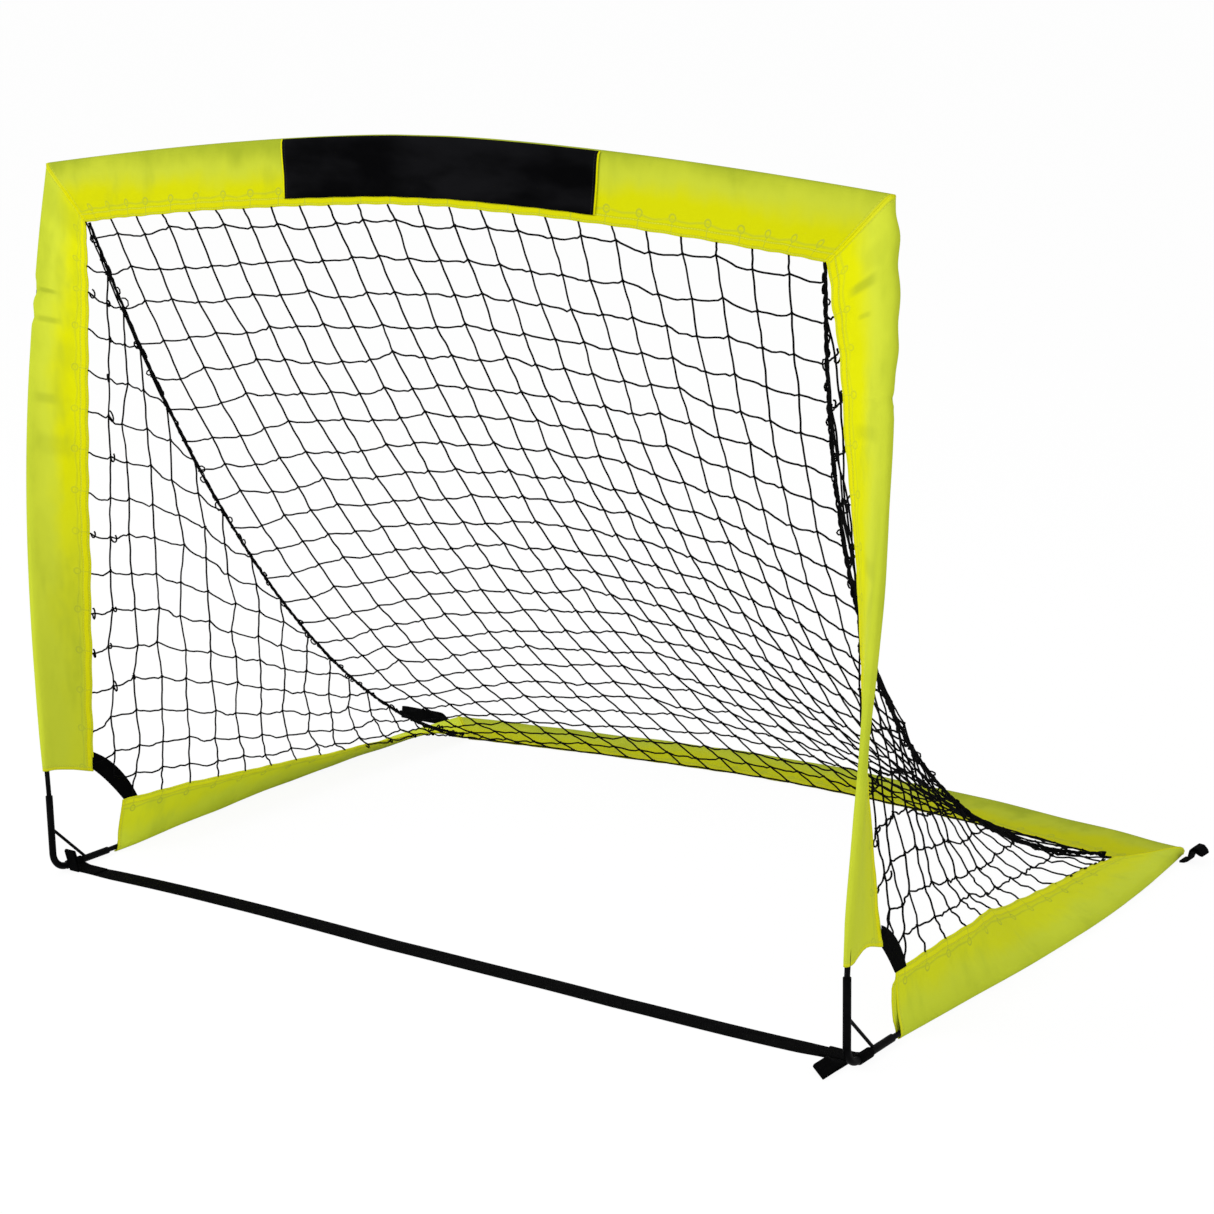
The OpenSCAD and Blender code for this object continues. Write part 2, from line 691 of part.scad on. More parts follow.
// 1 at the panel's middle and 0 along its four edges
function hump(t) = 4 * t * (1 - t);
function crown(u, v) = hump(u) * hump(v);
function back_bulge(u, v) =
  crown(u, v) * [0, back_set, back_rise * (1 + back_low_share * (2 * v - 1))];
function back_point(u, v) =
  let (
    left = flip_x(back_side(v)),
    right = back_side(v),
    corners = blend(
      blend(flip_x(back_side(0)), back_side(0), u),
      blend(flip_x(back_side(1)), back_side(1), u),
      v
    ),
    rails = blend(back_top(u), back_foot(u), v) - blend(
      blend(back_top(0), back_top(1), u),
      blend(back_foot(0), back_foot(1), u),
      v
    )
  )
  u <= 0 || u >= 1 ? (u <= 0 ? left : right) :
  v <= 0 ? back_top(u) :
  v >= 1 ? back_foot(u) :
  lifted(blend(left, right, u) + rails + back_bulge(u, v));
// One band of the back panel: band 0 is at the ground, and the bands meet along rows of knots
back_bands = 4;
function band_row(band) = round(band * back_rows / back_bands);
module back_band(band) {
  color("#1a1a1b")
    net_panel(
      [
        for (i = [0:back_cols])
          [
            for (j = [band_row(band):band_row(band + 1)])
              back_point(i / back_cols, 1 - j / back_rows)
          ]
      ],
      seam_low = band > 0,
      seam_high = band < back_bands - 1
    );
}

// Corner webbing: a short arch of webbing from the post's hem to the base's hem
web_steps = 8;
function post_s(z) = (z - upright_h) / (corner_h - upright_h);
function side_s(y) = (y - leg_l) / (base_depth - leg_l);
web_start_z = base_hem(side_start).z + corner_web_r;
web_end_y = post_hem(post_s(web_start_z)).y + corner_web_r;
web_arch = 0.62;
web_edge = sleeve_w + net_gap;
post_web_line = hem_of(post_rings([[web_edge, 0]]));
base_web_line = hem_of(side_rings([[web_edge, 0]]));
function web_post_end(w) =
  line_at(post_web_line, post_stations, post_s(web_start_z + corner_web_w * w));
function web_base_end(w) =
  line_at(base_web_line, side_stations, side_s(web_end_y + corner_web_w * w));
function web_point(w, t) =
  let (
    a = web_post_end(w),
    b = web_base_end(w),
    square_corner = [(a.x + b.x) / 2, b.y, a.z],
    pull = blend((a + b) / 2, square_corner, web_arch)
  ) blend(blend(a, pull, t), blend(pull, b, t), t);
module corner_webbing() {
  half = web_t / 2 * x_axis;
  color("#0f0f10")
    tube_sweep([
      for (i = [0:web_steps])
        let (t = i / web_steps, low = web_point(0, t), high = web_point(1, t))
        [low - half, high - half, high + half, low + half]
    ]);
}

// Side panel between the post hem, the base hem and the cord; a runs to the rear and b upwards
cord_side = unit([0.3, -0.8, -0.5]); // from a cord towards the panel: out, forwards and down
at_cord = 0.0001; // share of the panel within which a knot counts as on the cord
side_low_s = post_s(web_start_z + corner_web_w + strand_w);
side_near_s = side_s(web_end_y + corner_web_w + strand_w);
function side_front(b) = post_hem(blend(side_low_s, 1 - side_top, b));
function side_base(a) = base_hem(blend(side_near_s, side_foot, a));
function side_slope(v) =
  let (i = min(max(round((v - side_top) / (side_foot - side_top) * side_cells), 0), side_cells) + 1)
  cord_at(v) + square_to(cord_side, path_along(cord_path, i)) * border_off;
apex = blend(post_hem(1 - side_top), side_slope(side_top), 0.5);
toe = lifted(blend(base_hem(side_foot), side_slope(side_foot), 0.5));
heel = web_point(1, 0.5) + (net_gap + strand_half) * unit([0, 1, 1]);
function side_edge_f(b) = b >= 1 ? apex : b <= 0 ? heel : side_front(b);
function side_edge_b(a) = a >= 1 ? toe : a <= 0 ? heel : side_base(a);
function side_edge_c(a) =
  a <= 0 ? apex : a >= 1 ? toe : side_slope(blend(side_top, side_foot, a));
function side_point(a, b) =
  let (c = 1 - a - b)
  a <= 0 ? side_edge_f(b) :
  b <= 0 ? side_edge_b(a) :
  c <= at_cord ? side_edge_c(a) :
  lifted((
    blend(side_edge_f(b), side_edge_c(1 - b), a / (1 - b)) +
    blend(side_edge_b(a), side_edge_c(a), b / (1 - a)) +
    blend(side_edge_f(1 - c), side_edge_b(1 - c), a / (a + b)) -
    (a * toe + b * apex + c * heel)
  ) / 2);
module side_net() {
  color("#1a1a1b")
    net_panel([
      for (i = [0:side_cells])
        [
          for (j = [0:side_cells])
            i + j <= side_cells ? side_point(i / side_cells, j / side_cells) : [0, 0, 0]
        ]
    ], cut = true);
}

// Ground strap: flat webbing that wraps each bracket's leg and is sewn back on itself
strap_z = rod_z - wrap_out;
module strap_outline() {
  difference() {
    union() {
      circle(r = wrap_out, $fn = 64);
      translate([-strap_tail, -wrap_out]) square([strap_tail, 2 * web_t]);
    }
    circle(r = wrap_in, $fn = 64);
  }
}
module strap_wrap() {
  color("#0f0f10")
    translate([half_w, strap_y + strap_w / 2, rod_z])
      rotate([90, 0, 0])
        linear_extrude(height = strap_w)
          strap_outline();
}
module ground_strap_shape() {
  reach = half_w - strap_tail;
  color("#0f0f10")
    translate([-reach, strap_y - strap_w / 2, strap_z]) cube([2 * reach, strap_w, web_t]);
}

// Stake loops: a doubled length of webbing, stitched at its root and open at its eye
eye_out = eye_h / 2 + web_t;
module stadium(length, radius) {
  translate([radius, 0]) circle(r = radius, $fn = 48);
  translate([length - radius, 0]) circle(r = radius, $fn = 48);
  translate([radius, -radius]) square([length - 2 * radius, 2 * radius]);
}
// The loop lies along +X from the centre of its rounded root; low is the root's depth below the eye.
module stake_loop(length, width, low) {
  color("#0f0f10")
    translate([0, width / 2, 0])
      rotate([90, 0, 0])
        linear_extrude(height = width)
          difference() {
            union() {
              circle(r = web_t, $fn = 32);
              translate([0, -web_t]) square([loop_root + eye_out, 2 * web_t]);
              translate([loop_root, low]) stadium(length - loop_root, eye_out);
            }
            translate([loop_root + web_t, low]) stadium(length - loop_root - 2 * web_t, eye_h / 2);
          }
}
loop_gap = 0.4;
rear_loop_inset = 4;
rear_loop_y = base_depth - rear_loop_w / 2 - rear_loop_inset;
rear_loop_at = [
  side_at(side_s(rear_loop_y - rear_loop_w / 2)).x + pocket_out + loop_gap + web_t,
  rear_loop_y,
  eye_out
];
front_loop_at = [half_w - front_loop_x, strap_y - strap_w / 2 - loop_gap - web_t, strap_z + web_t];
module rear_loop() {
  translate(rear_loop_at) stake_loop(rear_loop_l, rear_loop_w, 0);
}
module front_loop(length, angle) {
  translate(front_loop_at)
    rotate([0, 0, -90])
      rotate([0, -angle, 0])
        stake_loop(length, front_loop_w, eye_out - web_t);
}

// The frame's origin is the middle of the ground strap's underside.
module placed() {
  translate([0, -strap_y, 0]) children();
}
module placed_left() {
  translate([0, -strap_y, 0]) mirror(x_axis) children();
}
module corner_bracket_left() {
  placed_left() corner_bracket();
}
module corner_bracket_right() {
  placed() corner_bracket();
}
module gusset_rod_left() {
  placed_left() gusset_rod();
}
module gusset_rod_right() {
  placed() gusset_rod();
}
module post_rod_left() {
  placed_left() post_rod();
}
module post_rod_right() {
  placed() post_rod();
}
module top_rod_left() {
  placed_left() half_rod(top_path);
}
module top_rod_right() {
  placed() half_rod(top_path);
}
module top_ferrule() {
  placed() ferrule([0, lean, corner_h + top_bow]);
}
module top_elbow_left() {
  placed_left() elbow(post_at(1), post_run, top_run);
}
module top_elbow_right() {
  placed() elbow(post_at(1), post_run, top_run);
}
module base_rod_left() {
  placed_left() base_rod();
}
module base_rod_right() {
  placed() base_rod();
}
module rear_rod_left() {
  placed_left() half_rod(rear_path);
}
module rear_rod_right() {
  placed() half_rod(rear_path);
}
module rear_ferrule() {
  placed() ferrule([0, base_depth + rear_bow, rod_z]);
}
module rear_elbow_left() {
  placed_left() elbow(side_at(1), side_run, rear_run);
}
module rear_elbow_right() {
  placed() elbow(side_at(1), side_run, rear_run);
}
module post_sleeve_left() {
  placed_left() post_sleeve();
}
module post_sleeve_right() {
  placed() post_sleeve();
}
module top_sleeve() {
  placed() top_sleeve_shape();
}
module header_panel() {
  placed() header_panel_shape();
}
module base_sleeve_left() {
  placed_left() base_sleeve();
}
module base_sleeve_right() {
  placed() base_sleeve();
}
module rear_sleeve() {
  placed() rear_sleeve_shape();
}
module corner_webbing_left() {
  placed_left() corner_webbing();
}
module corner_webbing_right() {
  placed() corner_webbing();
}
module ground_strap() {
  placed() ground_strap_shape();
}
module strap_wrap_left() {
  placed_left() strap_wrap();
}
module strap_wrap_right() {
  placed() strap_wrap();
}
module stake_loop_front_left() {
  placed_left() front_loop(left_loop_l, left_loop_angle);
}
module stake_loop_front_right() {
  placed() front_loop(front_loop_l, 0);
}
module stake_loop_rear_left() {
  placed_left() rear_loop();
}
module stake_loop_rear_right() {
  placed() rear_loop();
}
module edge_cord_left() {
  placed_left() edge_cord();
}
module edge_cord_right() {
  placed() edge_cord();
}
module side_net_left() {
  placed_left() side_net();
}
module side_net_right() {
  placed() side_net();
}
module back_net_foot() {
  placed() back_band(0);
}
module back_net_lower() {
  placed() back_band(1);
}
module back_net_upper() {
  placed() back_band(2);
}
module back_net_top() {
  placed() back_band(3);
}

corner_bracket_left();
corner_bracket_right();
gusset_rod_left();
gusset_rod_right();
post_rod_left();
post_rod_right();
top_rod_left();
top_rod_right();
top_ferrule();
top_elbow_left();
top_elbow_right();
base_rod_left();
base_rod_right();
rear_rod_left();
rear_rod_right();
rear_ferrule();
rear_elbow_left();
rear_elbow_right();
post_sleeve_left();
post_sleeve_right();
top_sleeve();
header_panel();
base_sleeve_left();
base_sleeve_right();
rear_sleeve();
corner_webbing_left();
corner_webbing_right();
ground_strap();
strap_wrap_left();
strap_wrap_right();
stake_loop_front_left();
stake_loop_front_right();
stake_loop_rear_left();
stake_loop_rear_right();
edge_cord_left();
edge_cord_right();
side_net_left();
side_net_right();
back_net_foot();
back_net_lower();
back_net_upper();
back_net_top();
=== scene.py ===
import bisect
import math
import random

import bmesh
import bpy
from mathutils import Matrix, Vector, noise


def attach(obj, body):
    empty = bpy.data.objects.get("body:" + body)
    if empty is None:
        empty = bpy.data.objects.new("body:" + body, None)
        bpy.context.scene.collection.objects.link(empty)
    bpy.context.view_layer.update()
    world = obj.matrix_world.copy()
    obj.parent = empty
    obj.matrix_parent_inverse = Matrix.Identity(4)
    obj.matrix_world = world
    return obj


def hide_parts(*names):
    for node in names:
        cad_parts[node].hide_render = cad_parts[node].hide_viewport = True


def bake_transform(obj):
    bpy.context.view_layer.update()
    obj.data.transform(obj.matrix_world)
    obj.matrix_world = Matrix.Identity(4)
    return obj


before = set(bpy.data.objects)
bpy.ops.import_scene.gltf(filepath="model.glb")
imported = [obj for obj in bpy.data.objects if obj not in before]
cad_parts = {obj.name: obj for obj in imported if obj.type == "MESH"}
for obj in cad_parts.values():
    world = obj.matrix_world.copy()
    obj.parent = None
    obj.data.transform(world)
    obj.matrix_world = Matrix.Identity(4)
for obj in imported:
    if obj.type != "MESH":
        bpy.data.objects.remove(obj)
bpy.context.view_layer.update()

# ---------------------------------------------------------------- sizes, in metres
MM = 0.001
STRAP_Y = 35.5 * MM  # the frame's origin lies under the ground strap, this far behind the uprights
HALF_W = 590 * MM  # from the middle to an upright
BASE_DEPTH = 838 * MM
CORNER_H = 896 * MM
LEAN = 74 * MM  # the top corners lie this far behind the uprights' feet
POST_SPLAY = 2.5 * MM  # and stand this far further out
POST_BOW = 20 * MM
TOP_BOW = 45 * MM
SIDE_BOW = 20 * MM
REAR_BOW = 75 * MM
ROD_Z = 6 * MM
UPRIGHT_H = 105 * MM  # here the post rods leave the brackets
LEG_L = 95 * MM  # and here the base rods do
POST_SLEEVE_Z = 118 * MM
BASE_SLEEVE_Y = 108 * MM
SLEEVE_W = 72 * MM  # from the rod to the hem
POST_LENGTH = 795 * MM
SIDE_LENGTH = 745 * MM
TOP_SPAN = 1205 * MM
REAR_SPAN = 1215 * MM
CLOTH_T = 0.5 * MM
PANEL_T = 0.6 * MM
FERRULE_HALF = 30 * MM
BOW_SKEW = 1.3
BAR_POWER = 1.5
CORNER_X = HALF_W + POST_SPLAY
SEAM_GAP = 0.04 * MM
SEAM_REACH = 45 * MM  # this near to the seam that joins two sleeves the cloth lies still
SEAM_RIDGE = 0.9 * MM
SEAM_RIDGE_W = 4.5 * MM
MOUTH_REACH = 50 * MM  # an open mouth lies flatter over this length
MOUTH_FLAT = (0.22, 0.62)  # by these shares of its thickness, at the rod and past it
CLOTH_Z = 0.2 * MM  # no cloth lies lower than this
REAR_HEM_Z = 1.2 * MM
HEADER_W = 450 * MM
HEADER_X = 21 * MM  # the panel sits this far right of the middle
HEADER_PROUD = 1.1 * MM
STRAP_W = 25 * MM
SLACK_STRAP_W = 29.5 * MM  # between the corners the strap lies slack and spreads
# how far the strap lies behind its straight line, along x
STRAP_SWAY = [(-0.57, 0), (-0.52, 0.002), (-0.46, 0.004), (-0.36, 0.0065), (-0.25, 0.0055), (-0.08, -0.001)]
STRAP_SWAY += [(0.08, -0.0028), (0.25, -0.0052), (0.42, -0.0068), (0.50, -0.0050), (0.57, 0)]
WEB_T = 1.3 * MM
WEB_W = 24 * MM
WEB_TUCK = 2 * MM  # the corner webbing is sewn this far inside a hem
TWINE_R = 1.15 * MM
KNOT_R = 2.0 * MM
TIE_OUT = 1.2 * MM  # the nets are tied this far past a hem
TWINE_Z = 2.8 * MM  # no twine's middle lies lower than this
HEM_TIE_Z = 3.5 * MM
CORD_STRAND_R = {1: 1.2 * MM, -1: 1.0 * MM}
BACK_COLUMNS = 24
BACK_ROWS = 25
SIDE_CELLS = 16
SIDE_SETTLING = 4  # rounds in which each knot moves towards its neighbours
SETTLING_DROP = 0.2 * MM  # and sinks in each round
# where the side nets' rows and columns are tied, as shares of a post's or a base side's rod
FIRST_POST_TIE = 0.091
POST_TIE_STEP = 0.0668
FIRST_BASE_TIE = 0.040
BASE_TIE_STEP = 0.0670
# how far apart the lacing's rings are, as drawn on the cloth, and the meshes that draw its hem in
POST_RINGS = 54 * MM
BASE_RINGS = 50 * MM
REAR_RINGS = 50 * MM
TOP_RINGS = 43.7 * MM
TOP_MESHES = 42 * MM


# ---------------------------------------------------------------- small helpers
def mix(a, b, k):
    """The value that lies the share k of the way from a to b."""
    return a + (b - a) * k


def eased(k):
    """A share from 0 to 1 with a soft start and end."""
    k = min(max(k, 0), 1)
    return k * k * (3 - 2 * k)


def along_table(table, at, spread=0.0):
    """Value at a place in a table of (place, value) pairs, rounded off over spread."""

    def straight(x):
        if x <= table[0][0]:
            return table[0][1]
        for (x0, y0), (x1, y1) in zip(table, table[1:]):
            if x <= x1:
                return mix(y0, y1, (x - x0) / (x1 - x0))
        return table[-1][1]

    return sum(straight(at + spread * k) for k in (-1, -0.5, 0, 0.5, 1)) / 5


def ripple(x, y, seed):
    """Smooth cloth noise from -1 to 1, the same on each run."""
    return noise.noise(Vector((x, y, seed)))


def mirrored(p, side):
    """A place on the right side, or its mirror image on the left where side is -1."""
    return Vector((p.x * side, p.y, p.z))


def above_ground(p, low=TWINE_Z):
    """The same place, lifted where it would lie lower than low."""
    p.z = max(p.z, low)
    return p


# ---------------------------------------------------------------- the camera
camera = bpy.data.cameras.new("camera")
camera.lens = 80.42
camera.sensor_width = 36
camera.clip_end = 500
camera_object = bpy.data.objects.new("camera", camera)
bpy.context.collection.objects.link(camera_object)
camera_right = Vector((0.81473, 0.57958, -0.01722))
camera_down = Vector((0.11921, -0.19649, -0.97323))
camera_ahead = Vector((-0.56745, 0.79087, -0.22918))
camera_place = Vector((1.93082, -2.31759, 1.123))
camera_turn = Matrix((camera_right, -camera_down, -camera_ahead)).transposed()
camera_object.matrix_world = Matrix.Translation(camera_place) @ camera_turn.to_4x4()
bpy.context.scene.camera = camera_object


# ---------------------------------------------------------------- shader values as Python numbers
class Value:
    """A shader node's output that adds Math nodes when it is used in an expression."""

    def __init__(self, finish, socket):
        self.finish = finish
        self.socket = socket

    def math(self, operation, *inputs):
        return self.finish.node("Math", {"operation": operation}, dict(enumerate(inputs)))

    def __add__(self, other):
        return self.math("ADD", self, other)

    def __radd__(self, other):
        return self.math("ADD", other, self)

    def __sub__(self, other):
        return self.math("SUBTRACT", self, other)

    def __rsub__(self, other):
        return self.math("SUBTRACT", other, self)

    def __mul__(self, other):
        return self.math("MULTIPLY", self, other)

    def __rmul__(self, other):
        return self.math("MULTIPLY", other, self)

    def __truediv__(self, other):
        return self.math("DIVIDE", self, other)

    def __pow__(self, other):
        return self.math("POWER", self, other)

    def __mod__(self, other):
        return self.math("FLOORED_MODULO", self, other)

    def __gt__(self, other):
        return self.math("GREATER_THAN", self, other)

    def __abs__(self):
        return self.math("ABSOLUTE", self)

    def sine(self):
        return self.math("SINE", self)

    def low(self, other):
        return self.math("MINIMUM", self, other)

    def high(self, other):
        return self.math("MAXIMUM", self, other)

    def held(self, low=0.0, high=1.0):
        """The value scaled from low..high to 0..1, with a soft start and end."""
        return self.finish.node(
            "MapRange",
            {"interpolation_type": "SMOOTHSTEP"},
            {"Value": self, "From Min": low, "From Max": high},
        )

    def near(self, centre, reach):
        """1 at the centre, falling to 0 at that reach on both sides."""
        return 1 - abs(self - centre).held(0.0, reach)


class Finish:
    """A material whose nodes are written as expressions."""

    def __init__(self, name):
        self.material = bpy.data.materials.new(name)
        self.material.use_nodes = True
        self.tree = self.material.node_tree
        self.shader = self.tree.nodes["Principled BSDF"]
        self.material.diffuse_color = (0.5, 0.5, 0.5, 1)

    def join(self, value, socket):
        if isinstance(value, Value):
            self.tree.links.new(value.socket, socket)
        elif isinstance(value, tuple) and len(value) == 3 and socket.type == "RGBA":
            socket.default_value = (*value, 1)
        else:
            socket.default_value = value

    def node(self, kind, settings=None, inputs=None, output=0):
        """Adds a node: its settings first, then the values or links of its sockets."""
        made = self.tree.nodes.new("ShaderNode" + kind)
        for key, value in (settings or {}).items():
            setattr(made, key, value)
        for key, value in (inputs or {}).items():
            self.join(value, made.inputs[key])
        return Value(self, made.outputs[output])

    def place(self):
        return self.node("TexCoord", output="Object")

    def cloth_place(self):
        """Distances along and around a cloth piece, in metres, from its own map."""
        split = self.node("SeparateXYZ", {}, {0: self.node("UVMap", {"uv_map": "cloth"})})
        return split, Value(self, split.socket.node.outputs[1])

    def noise(self, at, scale, detail=2.0, roughness=0.5):
        return self.node(
            "TexNoise", {}, {"Vector": at, "Scale": scale, "Detail": detail, "Roughness": roughness}
        )

    def stretched(self, at, scale):
        return self.node("Mapping", {}, {"Vector": at, "Scale": scale})

    def colours(self, share, a, b, blend="MIX"):
        return self.node(
            "Mix", {"data_type": "RGBA", "blend_type": blend}, {0: share, 6: a, 7: b}, output=2
        )

    def surface(self, colour=None, roughness=None, height=None, depth=0.001, strength=1.0, **fixed):
        """Joins what varies over the surface, and sets what doesn't."""
        if colour is not None:
            self.join(colour, self.shader.inputs["Base Color"])
        if roughness is not None:
            self.join(roughness, self.shader.inputs["Roughness"])
        if height is not None:
            bump = self.node("Bump", {}, {"Height": height, "Distance": depth, "Strength": strength})
            self.join(bump, self.shader.inputs["Normal"])
        for name, value in fixed.items():
            self.join(value, self.shader.inputs[name.replace("_", " ")])
        return self.material


# ---------------------------------------------------------------- finishes
LIME_BRIGHT = (0.78, 0.80, 0.002)
LIME_PALE = (0.68, 0.76, 0.045)
LIME_OLIVE = (0.42, 0.51, 0.028)
LIME_HEM = (0.80, 0.78, 0.002)
LIME_THREAD = (0.80, 0.82, 0.08)
LACING = (0.30, 0.38, 0.06)
# sewing on the cloth, measured from the hem or from an end
HEM_FOLD = (10.8 * MM, 12.5 * MM)
STITCH_ROWS = (3.0 * MM, 10.5 * MM)
STITCH_PITCH = 3.6 * MM
STITCH_GAP = 1.1 * MM
END_STITCHES = 5.5 * MM
END_RIDGE = (2.0 * MM, 5.0 * MM)
LACE_IN = 17.5 * MM
RING_IN = 18.5 * MM
RING_R = 4.0 * MM
CLOTH_WEAVE = 5200.0  # radians in a metre
PANEL_WEAVE = 4200.0
WEBBING_ROWS = 1.6 * MM


def mix_colour(a, b, k):
    """The colour that lies the share k of the way from a to b."""
    return tuple(mix(x, y, k) for x, y in zip(a, b))


def toned(colour, shading_tone):
    """The colour made lighter or darker by a factor."""
    return tuple(part * shading_tone for part in colour)


def sleeve_finish(
    name,
    around,
    length,
    pitch,
    phase,
    shading_tone=1.0,
    shade_dulling=0.0,
    rod_tint_and_shade=0.6,
    foot=0.0,
    lacing=0.5,
    open_end=True,
    dent_shades=(),
):
    """Coated fluorescent cloth: plain weave, hem band, stitches and the lacing that shows through.

    tone is painted light and shade that makes the whole sleeve lighter or darker, green is painted
    shade that makes it duller, outer is how olive it gets over the rod, partly painted shade and
    partly the cloth's own tint, and foot how pale it gets near its low end.
    """
    f = Finish(name)
    across, along = f.cloth_place()
    from_hem = around / 2 - abs(across - around / 2)
    at = f.place()
    broad = f.noise(at, 5.0, 2.0)
    patches = f.noise(f.stretched(at, (1.0, 1.0, 0.6)), 15.0, 3.0, 0.6)
    fine = f.noise(at, 34.0, 4.0, 0.6)
    creased = f.noise(f.stretched(at, (1.0, 1.0, 0.35)), 22.0, 3.0, 0.65)
    # painted light and shade across the cloth: bright by the hem, paler in the middle, and olive over the
    # rod, where it is partly painted shade and partly the cloth's own tint
    depth = from_hem + (patches - 0.5) * 0.050 + (broad - 0.5) * 0.050
    # painted light and shade: each sleeve's tone makes it lighter or darker, and green dulls it as in shade
    olive = toned(LIME_OLIVE, shading_tone)
    bright = toned(mix_colour(LIME_BRIGHT, LIME_OLIVE, shade_dulling), shading_tone)
    pale = toned(mix_colour(LIME_PALE, LIME_OLIVE, shade_dulling), shading_tone)
    cloth = f.colours(depth.held(0.026, 0.056), bright, pale)
    cloth = f.colours(depth.held(0.050, 0.082) * rod_tint_and_shade, cloth, olive)
    if foot:
        low_end = 1 - along.held(0.12, 0.46)
        cloth = f.colours(low_end * foot, cloth, mix_colour(LIME_PALE, LIME_OLIVE, 0.30))
    # painted shade in the cloth's creases
    shade = (creased * 0.6 + patches * 0.4).held(0.50, 0.68)
    cloth = f.colours(shade * 0.40, cloth, olive)
    # painted shade where the cloth dents, in colour only
    for far, deep, long, wide, amount in dent_shades:
        dent_shade = (1 - abs(along - far) / wide).held(0.0, 0.8)
        dent_shade = dent_shade * (1 - abs(from_hem - deep) / long).held(0.0, 0.7)
        cloth = f.colours(dent_shade * amount, cloth, toned(LIME_OLIVE, 0.85))
    band = 1 - from_hem.held(*HEM_FOLD)
    cloth = f.colours(band * (0.85 - shade_dulling), cloth, toned(LIME_HEM, shading_tone))
    # lacing cord and rings, seen through the cloth, with a short stroke down to the hem at each ring
    wander = (f.noise(at, 14.0, 1.0) - 0.5) * 0.008
    cell = (along + (wander + (pitch / 2 - phase))) % pitch - pitch / 2
    lace = (from_hem + wander + abs(cell) * 0.10).near(LACE_IN, 0.0022)
    ring_r = ((from_hem - RING_IN) ** 2.0 + cell * cell) ** 0.5
    ring = ring_r.near(RING_R, 0.0018)
    stroke = abs(cell).near(0.0, 0.0014) * (1 - from_hem.held(0.0140, 0.0165))
    shown = (lace * 0.60).high(ring).high(stroke * 0.80) * fine.held(0.20, 0.50)
    cloth = f.colours(shown * lacing, cloth, LACING)
    # rows of stitches, each in a shallow groove
    first_row, second_row = STITCH_ROWS
    stitch_on = ((along % STITCH_PITCH) > STITCH_GAP) * 1.0
    sewn = from_hem.near(first_row, 0.0007).high(from_hem.near(second_row, 0.0007))
    from_end = (length - along).low(along)
    end_on = ((across % STITCH_PITCH) > STITCH_GAP) * 1.0
    stitch = (sewn * stitch_on).high(from_end.near(END_STITCHES, 0.0008) * end_on)
    groove = from_hem.near(first_row, 0.0018).high(from_hem.near(second_row, 0.0018))
    groove = groove.high(from_end.near(END_STITCHES, 0.0018) * 0.6)
    # painted shade in the grooves
    cloth = f.colours(groove * 0.45, cloth, LIME_OLIVE)
    cloth = f.colours(stitch * 0.75, cloth, LIME_THREAD)
    # painted highlight along the raised ridge at each end
    ridge = 1 - from_end.held(*END_RIDGE)
    cloth = f.colours(ridge * 0.6, cloth, LIME_HEM)
    if open_end:
        cloth = f.colours(along.near(0.0, 0.0010) * 0.5, cloth, LIME_OLIVE)
    weave = (across * CLOTH_WEAVE).sine() * (along * CLOTH_WEAVE).sine()
    height = creased * 0.75 + fine * 0.16 + stitch * 0.30 - groove * 0.35 + weave * 0.035
    height = height + shown * 0.12 + ridge * 0.30
    return f.surface(cloth, 0.58 + fine * 0.16, height, 0.0026, 0.6, IOR=1.10)


def panel_finish():
    """Plain black cloth with a row of stitches and a bright piping at each end."""
    f = Finish("panel cloth")
    across, along = f.cloth_place()
    at = f.place()
    fold = f.noise(f.stretched(at, (1.0, 1.0, 2.5)), 9.0, 3.0)
    fine = f.noise(at, 90.0, 3.0)
    weave = (across * PANEL_WEAVE).sine() * (along * PANEL_WEAVE).sine()
    # painted light and shade over the folds, lighter on them
    colour = f.colours(fold.held(0.35, 0.70), (0.0012, 0.0012, 0.0015), (0.0060, 0.0060, 0.0070))
    from_end = along.low(HEADER_W - along)
    dashes = ((across % 0.0034) > 0.0010) * 1.0
    colour = f.colours(from_end.near(END_STITCHES, 0.0006) * dashes * 0.7, colour, (0.03, 0.03, 0.033))
    piping = 1 - from_end.held(0.0016, 0.0024)
    colour = f.colours(piping, colour, LIME_HEM)
    height = fold * 0.6 + fine * 0.1 + weave * 0.05 + piping * 0.5
    return f.surface(colour, 0.60 + fine * 0.2, height, 0.0015, 0.5, IOR=1.06)


def steel_finish():
    """Powder coat with a fine grain, rubbed grey in a few places."""
    f = Finish("black powder-coated steel")
    at = f.place()
    grain = f.noise(at, 900.0, 2.0)
    patches = f.noise(at, 60.0, 4.0, 0.65)
    worn = patches.held(0.66, 0.74)
    colour = f.colours(patches.held(0.3, 0.7), (0.0010, 0.0010, 0.0012), (0.0040, 0.0040, 0.0044))
    colour = f.colours(worn * 0.30, colour, (0.045, 0.044, 0.043))
    rough = 0.34 + grain * 0.16 + worn * 0.12
    return f.surface(colour, rough, grain * 0.6 + patches * 0.4, 0.00025, 0.5, IOR=1.08)


def rod_finish():
    """Black fibreglass with its fibres showing along the rod."""
    f = Finish("drawn fibreglass rod")
    at = f.place()
    fibres = f.noise(f.stretched(at, (1.0, 1.0, 0.08)), 700.0, 3.0)
    patches = f.noise(at, 40.0, 2.0)
    colour = f.colours(fibres.held(0.3, 0.7), (0.0014, 0.0014, 0.0016), (0.0060, 0.0060, 0.0066))
    return f.surface(colour, 0.32 + patches * 0.2, fibres, 0.0002, 0.4, IOR=1.08)


